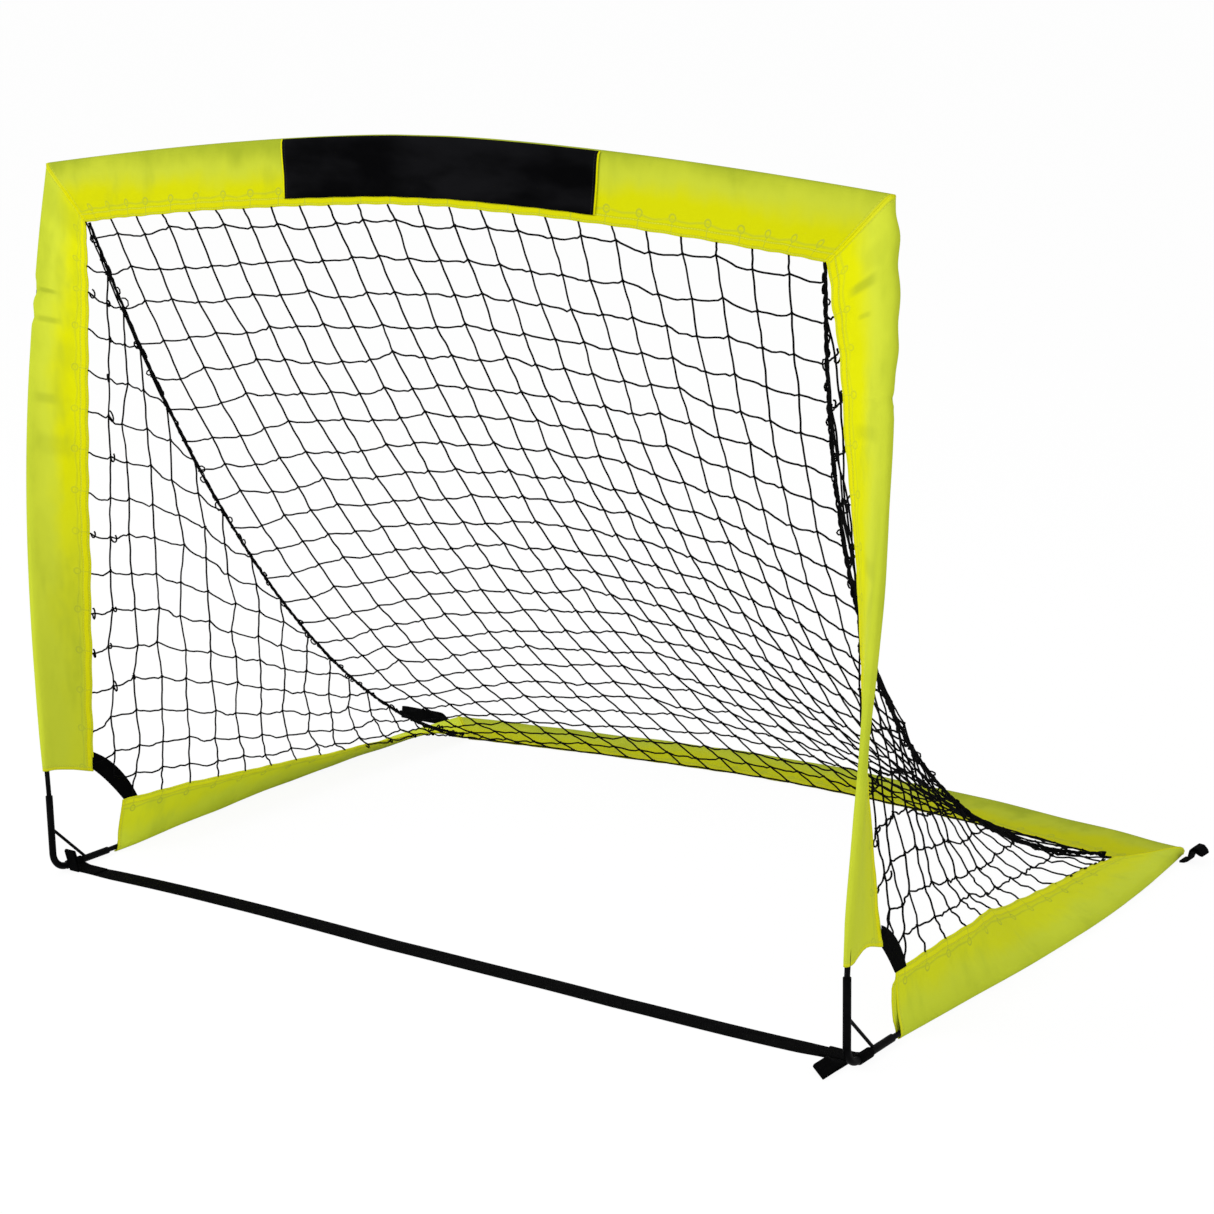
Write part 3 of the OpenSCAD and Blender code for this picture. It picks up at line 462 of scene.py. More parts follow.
def ferrule_finish():
    """Bright aluminium with fine lines from drawing."""
    f = Finish("drawn aluminium tube")
    at = f.place()
    lines = f.noise(f.stretched(at, (0.05, 1.0, 1.0)), 900.0, 2.0)
    colour = f.colours(lines, (0.42, 0.42, 0.44), (0.62, 0.62, 0.63))
    return f.surface(colour, 0.28 + lines * 0.2, lines, 0.0001, 0.3, Metallic=1.0)


def elbow_finish():
    """Moulded black plastic with a fine grain."""
    f = Finish("moulded black elbow")
    at = f.place()
    grain = f.noise(at, 1200.0, 2.0)
    cloudy = f.noise(at, 50.0, 2.0)
    colour = f.colours(cloudy, (0.016, 0.016, 0.017), (0.034, 0.034, 0.036))
    return f.surface(colour, 0.42 + grain * 0.15, grain, 0.00015, 0.5)


def webbing_finish(name, width, rib=0.0021):
    """Woven polypropylene tape: slanting ribs that meet in chevrons, with bound edges."""
    f = Finish(name)
    across, along = f.cloth_place()
    at = f.place()
    fuzz = f.noise(at, 700.0, 3.0)
    patches = f.noise(at, 45.0, 3.0)
    lane = abs((across % (width / 4)) - width / 8)
    ribs = ((along + lane * 0.9) * (2 * math.pi / rib)).sine() * 0.5 + 0.5
    rows = (across * (2 * math.pi / WEBBING_ROWS)).sine() * 0.5 + 0.5
    edge = 1 - (width / 2 - abs(across - width / 2)).held(0.0, 0.0012)
    weave = ribs * 0.7 + rows * 0.3
    colour = f.colours(weave, (0.0004, 0.0004, 0.0005), (0.0036, 0.0036, 0.0038))
    colour = f.colours(patches.held(0.45, 0.8) * 0.5, colour, (0.0050, 0.0050, 0.0052))
    colour = f.colours(edge * 0.5, colour, (0.0046, 0.0046, 0.0048))
    rough = 0.62 + fuzz * 0.25
    return f.surface(colour, rough, weave + fuzz * 0.25, 0.0004, 0.8, IOR=1.05)


def twine_finish():
    """Knotted black twine: two plies that turn about each other, with a little fuzz."""
    f = Finish("black net twine")
    at = f.place()
    plies = f.noise(at, 620.0, 2.0, 0.7)
    fuzz = f.noise(at, 1500.0, 2.0)
    dust = f.noise(at, 18.0, 3.0)
    colour = f.colours(plies.held(0.35, 0.65), (0.0010, 0.0010, 0.0012), (0.0070, 0.0070, 0.0074))
    colour = f.colours(dust.held(0.5, 0.8) * 0.4, colour, (0.0120, 0.0122, 0.0122))
    return f.surface(colour, 0.68 + fuzz * 0.2, plies + fuzz * 0.4, 0.0004, 0.8, IOR=1.05)


webbing = webbing_finish("black webbing", STRAP_W)
twine_black = twine_finish()
panel_cloth = panel_finish()
black_steel = steel_finish()
hardware = {
    "corner_bracket": black_steel,
    "gusset_rod": black_steel,
    "rod": rod_finish(),
    "ferrule": ferrule_finish(),
    "elbow": elbow_finish(),
}
for node_name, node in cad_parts.items():
    kind = next((kind for kind in hardware if kind in node_name), None)
    if kind:
        node.data.materials.clear()
        node.data.materials.append(hardware[kind])


# ---------------------------------------------------------------- the rods' lines
def row(x, y, z):
    """A point given from the middle between the uprights, in the shared frame."""
    return Vector((x, y - STRAP_Y, z))


def bar_rise(x, reach):
    """A bar's bow: 1 over the straight ferrule in its middle, 0 at its ends."""
    return 1 - (max(0, abs(x) - FERRULE_HALF) / (reach - FERRULE_HALF)) ** BAR_POWER


def post_at(s):
    """The right post's rod, from its bracket (0) to the top corner (1)."""
    return row(
        HALF_W + POST_SPLAY * s + POST_BOW * math.sin(math.pi * s**BOW_SKEW),
        LEAN * (3 * s * s - s**3) / 2,
        mix(UPRIGHT_H, CORNER_H, s),
    )


def side_at(s):
    """The right base rod, from its bracket (0) to the rear corner (1)."""
    return row(
        HALF_W + SIDE_BOW * math.sin(math.pi * s**BOW_SKEW), mix(LEG_L, BASE_DEPTH, s), ROD_Z
    )


def top_at(x):
    """The top bar's rod, above a distance from the middle."""
    return row(x, LEAN, CORNER_H + TOP_BOW * bar_rise(x, CORNER_X))


def rear_at(x):
    """The rear bar's rod, behind a distance from the middle."""
    return row(x, BASE_DEPTH + REAR_BOW * bar_rise(x, HALF_W), ROD_Z)


def heading(line, s, step, low, high):
    """Which way a line runs at s, without going past its ends."""
    a, b = max(s - step, low), min(s + step, high)
    return (line(b) - line(a)).normalized()


CORNER_STEP = 0.02
# how the rods run away from the corners
post_run = -heading(post_at, 1, CORNER_STEP, 0, 1)
side_run = -heading(side_at, 1, CORNER_STEP, 0, 1)
top_run = -heading(top_at, CORNER_X, CORNER_STEP, 0, CORNER_X)
rear_run = -heading(rear_at, HALF_W, CORNER_STEP, 0, HALF_W)


def mitre(a, b):
    """How far along its rod a sleeve's cloth is cut back for each metre across, to meet the next."""
    return (1 + a.dot(b)) / a.cross(b).length


top_mitre = mitre(post_run, top_run)
rear_mitre = mitre(side_run, rear_run)
REAR_DROOP = math.asin((ROD_Z - REAR_HEM_Z) / SLEEVE_W)
# how far each base side's hem is turned up, in degrees, from its front end to the rear corner
LEFT_TURN = [(0.108, 76), (0.165, 69), (0.246, 60), (0.308, 52), (0.374, 45), (0.442, 39), (0.511, 32)]
LEFT_TURN += [(0.585, 27), (0.68, 21), (0.745, 15), (0.80, 4), (BASE_DEPTH, -3.8)]
RIGHT_TURN = [(0.108, 88), (0.142, 86), (0.222, 79), (0.300, 72), (0.360, 55), (0.418, 34), (0.537, 23)]
RIGHT_TURN += [(0.668, 13), (0.760, 6), (BASE_DEPTH, -3.8)]


MITRE_REACH = 2.2  # a mitred end's cloth is drawn out over this many sleeve widths


class SleeveLine:
    """Where a sleeve's cloth lies about its rod: u runs from the rod to the hem, v through the cloth."""

    def __init__(self, at, low, high, beside, run, seam, turn, side=1, both=False):
        self.at = at
        self.low = low
        self.high = high
        self.beside = beside
        self.run = run
        self.seam = seam
        self.turn = turn
        self.side = side
        self.both = both
        self.known = {}

    def frame_at(self, s):
        if s not in self.known:
            step = (self.high - self.low) * 0.01
            at = self.at(s)
            along = heading(self.at, s, step, self.low, self.high)
            flat = (self.beside - along * self.beside.dot(along)).normalized()
            lift = along.cross(flat)
            angle = math.radians(self.turn(s))
            hem = flat * math.cos(angle) + lift * math.sin(angle)
            corner = (self.at(self.high) - at).length
            shear = self.seam * max(0, 1 - corner / (MITRE_REACH * SLEEVE_W))
            self.known[s] = (at, flat, hem, along.cross(hem), self.run * shear)
        return self.known[s]

    def point(self, s, u, v):
        right = abs(s) if self.both else s
        at, flat, hem, face, draw = self.frame_at(right)
        w = hem * u + face * v
        p = at + w + draw * w.dot(flat)
        if self.both and s < 0:
            p = mirrored(p, -1)
        return mirrored(p, self.side)


def post_turn(foot):
    """The hem turns from facing the other post at the top to facing the rear, and beyond, at the foot."""
    return lambda s: -85 * (1 - s) - foot * (1 - s) ** 4


def base_turn(table):
    """The hem's turn about a base rod, from a table of (distance back, degrees)."""

    def turn(s):
        return along_table(table, mix(LEG_L, BASE_DEPTH, s), 0.02)

    return turn


posts = {
    side: SleeveLine(post_at, 0, 1, top_run, post_run, top_mitre, post_turn(foot), side)
    for side, foot in ((1, 8.5), (-1, 0))
}
bases = {
    side: SleeveLine(side_at, 0, 1, rear_run, side_run, rear_mitre, base_turn(table), side)
    for side, table in ((1, RIGHT_TURN), (-1, LEFT_TURN))
}
# the two bars run across the goal, so their s is x in metres, where the posts' and sides' is a share
top = SleeveLine(top_at, 0, CORNER_X, post_run, top_run, top_mitre, lambda s: 0, both=True)
rear = SleeveLine(
    rear_at, 0, HALF_W, side_run, rear_run, rear_mitre, lambda s: math.degrees(REAR_DROOP), both=True
)

# ---------------------------------------------------------------- cloth sleeves
# half of the sleeve's section in millimetres, from the hem to the rod: (from the rod, half the thickness)
HALF_SECTION = [
    (72.2, 0.25), (71.6, 1.00), (69.0, 1.20), (65.0, 1.20), (61.6, 1.15), (60.4, 0.75), (58.5, 0.90),
    (54.0, 1.05), (47.0, 1.50), (40.0, 2.10), (32.0, 2.80), (24.0, 3.60), (16.5, 4.50), (10.0, 5.25),
    (4.0, 5.70), (-1.5, 5.55), (-4.6, 3.60),
]
ROD_POINT = (-6.1, 0.0)
SECTION = HALF_SECTION + [ROD_POINT] + [(u, -v) for u, v in reversed(HALF_SECTION)]
SECTION = [(u * MM, v * MM) for u, v in SECTION]
around_steps = [0.0]
for (u0, v0), (u1, v1) in zip(SECTION, SECTION[1:] + SECTION[:1]):
    around_steps.append(around_steps[-1] + math.hypot(u1 - u0, v1 - v0))
AROUND = around_steps[-1]


def add_piece(name, bm, finish, smooth=True, thickness=0.0):
    """Makes a bmesh a named piece of the goal, with one finish, and frees it."""
    mesh = bpy.data.meshes.new(name)
    bm.to_mesh(mesh)
    bm.free()
    mesh.materials.append(finish)
    for polygon in mesh.polygons:
        polygon.use_smooth = smooth
    piece = bpy.data.objects.new(name, mesh)
    bpy.context.collection.objects.link(piece)
    if thickness:
        wall = piece.modifiers.new("cloth", "SOLIDIFY")
        wall.thickness = thickness
        wall.offset = -1
    return piece


def laid_grid(columns, rows, place, sizes):
    """A bmesh grid laid out by place(i, j), with its cloth map in metres: sizes(i, j)."""
    bm = bmesh.new()
    bmesh.ops.create_grid(bm, x_segments=columns, y_segments=rows, size=0.5)
    cloth_map = bm.loops.layers.uv.new("cloth")
    cell = {}
    for vert in bm.verts:
        cell[vert] = (round((vert.co.x + 0.5) * columns), round((vert.co.y + 0.5) * rows))
    for face in bm.faces:
        for loop in face.loops:
            loop[cloth_map].uv = sizes(*cell[loop.vert])
    for vert, (i, j) in cell.items():
        vert.co = place(i, j)
    return bm


def sleeve(name, node, body, line, low, high, length, steps, finish, shape, ends=None):
    """A sleeve from low to high along its line, with that many steps.

    shape(s, u, v) moves its cloth, and ends(u, v) shifts where its open mouth starts.
    """
    n = len(SECTION)

    def place(i, j):
        u, v = SECTION[i % n]
        start = low + (ends(u, v) if ends else 0)
        s = mix(start, high, j / steps)
        du, dv = shape(s, u, v)
        if ends:
            flat = eased(1 - (s - start) * length / MOUTH_REACH)
            dv -= v * flat * mix(*MOUTH_FLAT, eased((u - 0.004) / 0.02))
        return above_ground(line.point(s, u + du, v + dv), CLOTH_Z)

    bm = laid_grid(n, steps, place, lambda i, j: (around_steps[i], length * j / steps))
    bmesh.ops.remove_doubles(bm, verts=bm.verts, dist=1e-6)
    bmesh.ops.recalc_face_normals(bm, faces=bm.faces)
    piece = add_piece(name, bm, finish, thickness=CLOTH_T)
    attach(piece, body)
    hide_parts(node)


CRUMPLE = 0.7 * MM  # the cloth's smallest waves
HEM_SWAY = 1.2 * MM
PUFF = 0.35  # how unevenly the cloth stands off its rod, as a share of its thickness
PUFF_END = 58 * MM


def hanging_cloth(seed, wave, scallop, pitch, length, joined=(), pinches=(), swells=()):
    """How a sleeve's cloth moves: waves, hem drawn in at each ring, pinches and swells at the rod.

    It lies still near its joined ends, where it meets another sleeve in a raised seam.
    """

    def shape(s, u, v):
        x = s * length
        loose = eased((u + 0.002) / 0.045)
        dv = wave * loose * (ripple(x * 8, u * 9, seed) + 0.45 * ripple(x * 21, u * 16, seed + 5))
        dv += CRUMPLE * ripple(x * 55, u * 40, seed + 9) * loose
        if u < PUFF_END:
            dv += v * PUFF * ripple(x * 11, 1.7 if v > 0 else 6.3, seed + 13)
        drawn = 0.5 + 0.5 * math.cos(2 * math.pi * x / pitch)
        du = -scallop * drawn * eased((u - 0.03) / 0.04)
        du += HEM_SWAY * ripple(x * 12, 3.1, seed + 21) * loose
        if joined:
            free = min(abs(x - end) for end in joined)
            du *= eased(free / SEAM_REACH)
            dv *= eased(free / SEAM_REACH)
            dv += SEAM_RIDGE * max(0, 1 - free / SEAM_RIDGE_W) * (1 if v > 0 else -1) * (v != 0)
        for at, depth, reach in pinches:
            near = eased(1 - abs(x - at) / reach)
            du += depth * near * (1 - eased((u + 0.002) / 0.03))
            dv += 0.35 * depth * near * math.sin(x * 400) * (1 - eased(u / 0.06))
        for at, depth, reach in swells:
            du += depth * eased(1 - abs(x - at) / reach) * (1 - eased((u + 0.002) / 0.012))
        return du, dv

    return shape


# steps along each sleeve
POST_STEPS = 190
SIDE_STEPS = 180
TOP_STEPS = 280
REAR_STEPS = 260
# how far the cloth waves, and how far each mesh draws its hem in
POST_WAVE = 3.0 * MM
POST_SCALLOP = 1.2 * MM
SIDE_WAVE = 2.2 * MM
SIDE_SCALLOP = 1.0 * MM
TOP_WAVE = 1.6 * MM
TOP_SCALLOP = 0.8 * MM
REAR_WAVE = 1.4 * MM
REAR_SCALLOP = 1.4 * MM
TOP_SEED = 17.7
REAR_SEED = 23.9
# where the first ring is drawn, from the low end
POST_RING_START = 60.3 * MM
BASE_RING_START = 20 * MM
# how much higher than its rod's end each post sleeve starts, across the cloth from the rod to the hem
POST_FOOT_RISE = {
    1: [(0.010, 0.0), (0.022, 0.0035), (0.035, 0.0076), (0.045, 0.0070), (0.054, 0.0044), (0.070, -0.001)],
    -1: [(-0.006, 0.021), (0.010, 0.020), (0.040, 0.013), (0.072, 0.003)],
}
BASE_LIP = {1: 0.009, -1: -0.010}  # how far a base sleeve's far layer reaches past the near one
# painted light and shade on each base sleeve: how much lighter it is painted, and how much duller
BASE_SHADING_TONE = {1: 1.14, -1: 1.25}
BASE_SHADE_DULLING = {1: 0.45, -1: 0.50}
# where the cloth is drawn in at the rod, or stands off it: distance up, how far, half length
POST_PINCHES = {1: [(0.60, 0.0025, 0.02)], -1: [(0.645, 0.0035, 0.018), (0.613, 0.0025, 0.014)]}
POST_SWELLS = {1: [(0.752, -0.0052, 0.030), (0.70, -0.0050, 0.045), (0.650, -0.0040, 0.030)], -1: []}
# painted shade of soft dents in the posts' cloth: distance up, distance from the hem, half length, half
# height, strength
POST_DENT_SHADES = {
    1: [
        (0.726, 0.042, 0.024, 0.010, 0.55),
        (0.689, 0.042, 0.012, 0.005, 0.35),
        (0.750, 0.055, 0.020, 0.020, 0.20),
        (0.560, 0.040, 0.030, 0.012, 0.25),
        (0.420, 0.050, 0.030, 0.015, 0.25),
    ],
    -1: [
        (0.640, 0.060, 0.020, 0.005, 0.55),
        (0.602, 0.056, 0.024, 0.006, 0.45),
        (0.560, 0.030, 0.020, 0.030, 0.20),
        (0.765, 0.040, 0.060, 0.040, 0.35),
        (0.500, 0.055, 0.020, 0.010, 0.35),
        (0.440, 0.040, 0.030, 0.020, 0.25),
    ],
}


def base_mouth(side, u, v):
    """How far along the rod the mouth of a base sleeve starts: its far layer has a lip of its own."""
    if v * side >= 0:
        return 0
    share = eased((u - 0.002) / 0.02) * (1 - eased((u - 0.056) / 0.007)) if side > 0 else 1
    return -BASE_LIP[side] * share


post_low = (POST_SLEEVE_Z - UPRIGHT_H) / (CORNER_H - UPRIGHT_H)
side_low = (BASE_SLEEVE_Y - LEG_L) / (BASE_DEPTH - LEG_L)
corner_end = 1 - SEAM_GAP / POST_LENGTH

for side, word, seed in ((1, "right", 3.3), (-1, "left", 8.1)):
    finish = sleeve_finish(
        "sleeve cloth post " + word,
        AROUND,
        POST_LENGTH,
        POST_RINGS,
        POST_RING_START,
        rod_tint_and_shade=0.5,
        foot=0.75,
        lacing=0.32,
        dent_shades=POST_DENT_SHADES[side],
    )
    post_shape = hanging_cloth(
        seed,
        POST_WAVE,
        POST_SCALLOP,
        POST_RINGS,
        POST_LENGTH,
        joined=[POST_LENGTH],
        pinches=POST_PINCHES[side],
        swells=POST_SWELLS[side],
    )
    rise = POST_FOOT_RISE[side]
    sleeve(
        "post_cloth_" + word,
        "post_sleeve_" + word,
        "arch",
        posts[side],
        post_low,
        corner_end,
        POST_LENGTH,
        POST_STEPS,
        finish,
        post_shape,
        lambda u, v, rise=rise: along_table(rise, u, 0.004) / POST_LENGTH,
    )
    finish = sleeve_finish(
        "sleeve cloth base " + word,
        AROUND,
        SIDE_LENGTH,
        BASE_RINGS,
        BASE_RING_START,
        shading_tone=BASE_SHADING_TONE[side],
        shade_dulling=BASE_SHADE_DULLING[side],
        rod_tint_and_shade=0.4,
    )
    sleeve(
        "base_cloth_" + word,
        "base_sleeve_" + word,
        "base",
        bases[side],
        side_low,
        corner_end,
        SIDE_LENGTH,
        SIDE_STEPS,
        finish,
        hanging_cloth(seed + 31, SIDE_WAVE, SIDE_SCALLOP, BASE_RINGS, SIDE_LENGTH, joined=[SIDE_LENGTH]),
        lambda u, v, side=side: base_mouth(side, u, v) / SIDE_LENGTH,
    )

# the top sleeve is painted a little darker, as shade
finish = sleeve_finish(
    "sleeve cloth top", AROUND, TOP_SPAN, TOP_RINGS, TOP_SPAN / 2, shading_tone=0.84, rod_tint_and_shade=0.9, open_end=False
)
sleeve(
    "top_cloth",
    "top_sleeve",
    "arch",
    top,
    -(CORNER_X - SEAM_GAP),
    CORNER_X - SEAM_GAP,
    TOP_SPAN,
    TOP_STEPS,
    finish,
    hanging_cloth(TOP_SEED, TOP_WAVE, TOP_SCALLOP, TOP_MESHES, 1.0, joined=[-CORNER_X, CORNER_X]),
)
# the rear sleeve is painted darker and duller, as shade
finish = sleeve_finish(
    "sleeve cloth rear", AROUND, REAR_SPAN, REAR_RINGS, 0, shading_tone=0.80, shade_dulling=0.22, rod_tint_and_shade=0.8, open_end=False
)
sleeve(
    "rear_cloth",
    "rear_sleeve",
    "base",
    rear,
    -(HALF_W - SEAM_GAP),
    HALF_W - SEAM_GAP,
    REAR_SPAN,
    REAR_STEPS,
    finish,
    hanging_cloth(REAR_SEED, REAR_WAVE, REAR_SCALLOP, REAR_RINGS, 1.0, joined=[-HALF_W, HALF_W]),
)

# ---------------------------------------------------------------- header panel
# the panel's section in millimetres, from the hem to over the rod: (from the rod, forward)
PANEL_SECTION = [(63.0, -1.3), (55.0, -1.55), (46.0, -2.05), (37.0, -2.75), (28.0, -3.6), (19.0, -4.6)]
PANEL_SECTION += [(11.0, -5.55), (4.0, -6.1), (-1.0, -6.1), (-4.6, -4.6)]
PANEL_SECTION = [(u * MM, v * MM) for u, v in PANEL_SECTION]
panel_steps = [0.0]
for (u0, v0), (u1, v1) in zip(PANEL_SECTION, PANEL_SECTION[1:]):
    panel_steps.append(panel_steps[-1] + math.hypot(u1 - u0, v1 - v0))
top_shape = hanging_cloth(TOP_SEED, TOP_WAVE, TOP_SCALLOP, TOP_MESHES, 1.0)


def on_top_front(x, u, v):
    """A place on the panel, which follows the top sleeve's front and stands just proud of it."""
    du, dv = top_shape(x, u, v)
    return top.point(x, u + du * 0.5, v + dv - HEADER_PROUD)


def header_panel():
    """The black panel on the front of the top sleeve."""
    columns = 110
    bm = laid_grid(
        len(PANEL_SECTION) - 1,
        columns,
        lambda i, j: on_top_front(HEADER_X + HEADER_W * (j / columns - 0.5), *PANEL_SECTION[i]),
        lambda i, j: (panel_steps[i], HEADER_W * j / columns),
    )
    bmesh.ops.recalc_face_normals(bm, faces=bm.faces)
    if sum(face.normal.y for face in bm.faces) > 0:
        bmesh.ops.reverse_faces(bm, faces=bm.faces)
    piece = add_piece("header_panel_cloth", bm, panel_cloth, thickness=PANEL_T)
    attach(piece, "arch")
    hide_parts("header_panel")


header_panel()

# ---------------------------------------------------------------- twine
CORD_ENDS = {
    1: (row(0.5235, 0.066, 0.8350), row(0.5175, 0.772, 0.0095)),
    -1: (row(-0.5225, 0.066, 0.8315), row(-0.5290, 0.772, 0.0095)),
}
# how far each cord's middle hangs off the straight line between its ends
CORD_SAG = {1: Vector((-0.074, -0.055, -0.160)), -1: Vector((0.060, -0.092, -0.118))}


def cord_line(side, v):
    """A seam cord's line, from the top corner (0) down to the rear corner (1)."""
    high, low = CORD_ENDS[side]
    return mix(high, low, v) + CORD_SAG[side] * (4 * v * (1 - v))


def evenly(line, steps=300):
    """The same line, followed at a steady speed from 0 to 1."""
    points = [line(k / steps) for k in range(steps + 1)]
    reach = [0.0]
    for a, b in zip(points, points[1:]):
        reach.append(reach[-1] + (b - a).length)

    def at(v):
        go = min(max(v, 0), 1) * reach[-1]
        k = min(max(bisect.bisect_right(reach, go) - 1, 0), steps - 1)
        return mix(points[k], points[k + 1], (go - reach[k]) / (reach[k + 1] - reach[k]))

    return at


cords = {side: evenly(lambda v, side=side: cord_line(side, v)) for side in (1, -1)}


def hem_tie(line, s):
    """Where a net is tied to a sleeve's hem."""
    return line.point(s, SLEEVE_W + TIE_OUT, 0)


def low_hem_tie(line, s):
    """The same on a hem by the ground, which the twine must clear."""
    return above_ground(hem_tie(line, s), HEM_TIE_Z)


BACK_RISE = 60 * MM  # how much higher than its cords the back panel hangs in its middle
BACK_SET = 40 * MM  # and how much further back
BACK_LOW_SHARE = 0.75  # most of the rise is in its lower half
FIRST_ROW = 0.42  # the first row hangs this share of a mesh below the top hem
top_edge = evenly(lambda u: hem_tie(top, mix(-CORNER_X, CORNER_X, u)))
rear_edge = evenly(lambda u: low_hem_tie(rear, mix(-HALF_W, HALF_W, u)))


def back_row(j):
    """How far down the back net its row j lies, as a share."""
    return max(0, j - 1 + FIRST_ROW) / (BACK_ROWS - 1 + FIRST_ROW)


def back_point(u, v):
    """A place on the back net: u from left to right, v from the top bar to the rear bar."""
    left, right = cords[-1](v), cords[1](v)
    corners = [mix(cords[-1](end), cords[1](end), u) for end in (0, 1)]
    edges = [top_edge(u), rear_edge(u)]
    crown = 16 * u * (1 - u) * v * (1 - v)
    bulge = Vector((0, BACK_SET, BACK_RISE * (1 + BACK_LOW_SHARE * (2 * v - 1)))) * crown
    p = mix(left, right, u) + mix(edges[0] - corners[0], edges[1] - corners[1], v) + bulge
    return above_ground(p)


def back_knots():
    """Knots (column, row) of the back net, which drift a little along their columns."""
    dice = random.Random(11)
    knots = {}
    for i in range(BACK_COLUMNS + 1):
        drift = 0
        for j in range(BACK_ROWS + 1):
            u, v = i / BACK_COLUMNS, back_row(j)
            p = back_point(u, v)
            if 0 < i < BACK_COLUMNS and 0 < j < BACK_ROWS:
                down = (back_point(u, min(1, v + 0.01)) - p).normalized()
                drift = 0.55 * drift + dice.gauss(0, 0.0028)
                p = p + down * drift + Vector([dice.gauss(0, 0.0011) for _ in range(3)])
            knots[i, j] = above_ground(p)
    return knots


def base_inner_face(side, column):
    """A place on the inner face of a base sleeve, just past its hem, under a column of the side net."""
    s = FIRST_BASE_TIE + (column - 2) * BASE_TIE_STEP
    faces = [bases[side].point(s, SLEEVE_W - 0.004, v) for v in (0.0026, -0.0026)]
    return min(faces, key=lambda p: p.x * side - p.z)


# where the corner webbing is sewn: its height on the post's hem and its distance back on the base's
WEB_TOP_Z = {1: 0.1295, -1: 0.137}
WEB_FOOT_Y = {1: 0.117, -1: 0.124}


def webbing_arch(side, t):
    """The middle line of the corner webbing, from the post's hem to the base's hem."""
    up_post = (WEB_TOP_Z[side] - UPRIGHT_H) / (CORNER_H - UPRIGHT_H)
    along_base = (WEB_FOOT_Y[side] - LEG_L) / (BASE_DEPTH - LEG_L)
    a = posts[side].point(up_post, SLEEVE_W - WEB_TUCK, 0)
    b = bases[side].point(along_base, SLEEVE_W - WEB_TUCK, 0)
    corner = Vector(((a.x + b.x) / 2, mix(a.y, b.y, 0.60), mix(b.z, a.z, 0.66)))
    return mix(mix(a, corner, t), mix(corner, b, t), t)


# where each column of a side net is tied: its share of the cord's length
COLUMN_TIES = [0, 0.055, 0.098, 0.145, 0.215, 0.290, 0.362, 0.435, 0.507, 0.575, 0.632, 0.680, 0.728]
COLUMN_TIES += [0.785, 0.842, 0.915, 1]


def side_knots(side):
    """Knots (column, row) of a side net: columns hang by the post, rows lie by the base."""
    dice = random.Random(21 + side)
    n = SIDE_CELLS
    fixed = {}
    for j in range(3, n):
        fixed[0, j] = hem_tie(posts[side], FIRST_POST_TIE + (j - 3) * POST_TIE_STEP)
    for i in range(2, n):
        fixed[i, 0] = low_hem_tie(bases[side], FIRST_BASE_TIE + (i - 2) * BASE_TIE_STEP)
    for k in range(n + 1):
        fixed[k, n - k] = cords[side](COLUMN_TIES[k])
    fixed[0, 2] = webbing_arch(side, 0.08)
    fixed[1, 1] = webbing_arch(side, 0.52)
    heel = webbing_arch(side, 0.5) + Vector((0, -0.03, -0.06))
    knots = dict(fixed)
    for i in range(n + 1):
        for j in range(n + 1 - i):
            if (i, j) in fixed or i + j < 3 and (i, j) not in ((1, 2), (2, 1)):
                continue
            foot = fixed.get((i, 0), heel)
            hem = fixed.get((0, j), heel)
            column = mix(foot, fixed[i, n - i], j / (n - i))
            line = mix(hem, fixed[n - j, j], i / (n - j))
            weight = mix(j / (i + j), 1, 0.45 * max(0, 1 - (i + 2 * j - 4) / 6))
            knots[i, j] = mix(line, column, weight)
    for _ in range(SIDE_SETTLING):
        moved = {}
        for (i, j), p in knots.items():
            if (i, j) in fixed:
                continue
            pull = Vector((0, 0, 0))
            for di, dj in ((1, 0), (-1, 0), (0, 1), (0, -1)):
                q = knots.get((i + di, j + dj))
                if q is not None:
                    pull += q - p
            moved[i, j] = p + pull * 0.2 + Vector((0, 0, -SETTLING_DROP))
        knots.update(moved)
    for (i, j), p in knots.items():
        if (i, j) not in fixed:
            knots[i, j] = above_ground(p + Vector([dice.gauss(0, 0.0022) for _ in range(3)]))
    return knots


def twine_mesh(name, runs, radius):
    """Tubes of twine along runs of points, as one bmesh."""
    curve = bpy.data.curves.new(name, "CURVE")
    curve.dimensions = "3D"
    curve.bevel_depth = radius
    curve.bevel_resolution = 1
    curve.use_fill_caps = True
    for run in runs:
        spline = curve.splines.new("POLY")
        spline.points.add(len(run) - 1)
        for point, co in zip(spline.points, run):
            point.co = (co[0], co[1], co[2], 1)
    holder = bpy.data.objects.new(name + " line", curve)
    bpy.context.collection.objects.link(holder)
    bpy.context.view_layer.update()
    mesh = bpy.data.meshes.new_from_object(
        holder.evaluated_get(bpy.context.evaluated_depsgraph_get()), preserve_all_data_layers=True
    )
    bpy.data.objects.remove(holder)
    bpy.data.curves.remove(curve)
    bm = bmesh.new()
    bm.from_mesh(mesh)
    bpy.data.meshes.remove(mesh)
    return bm


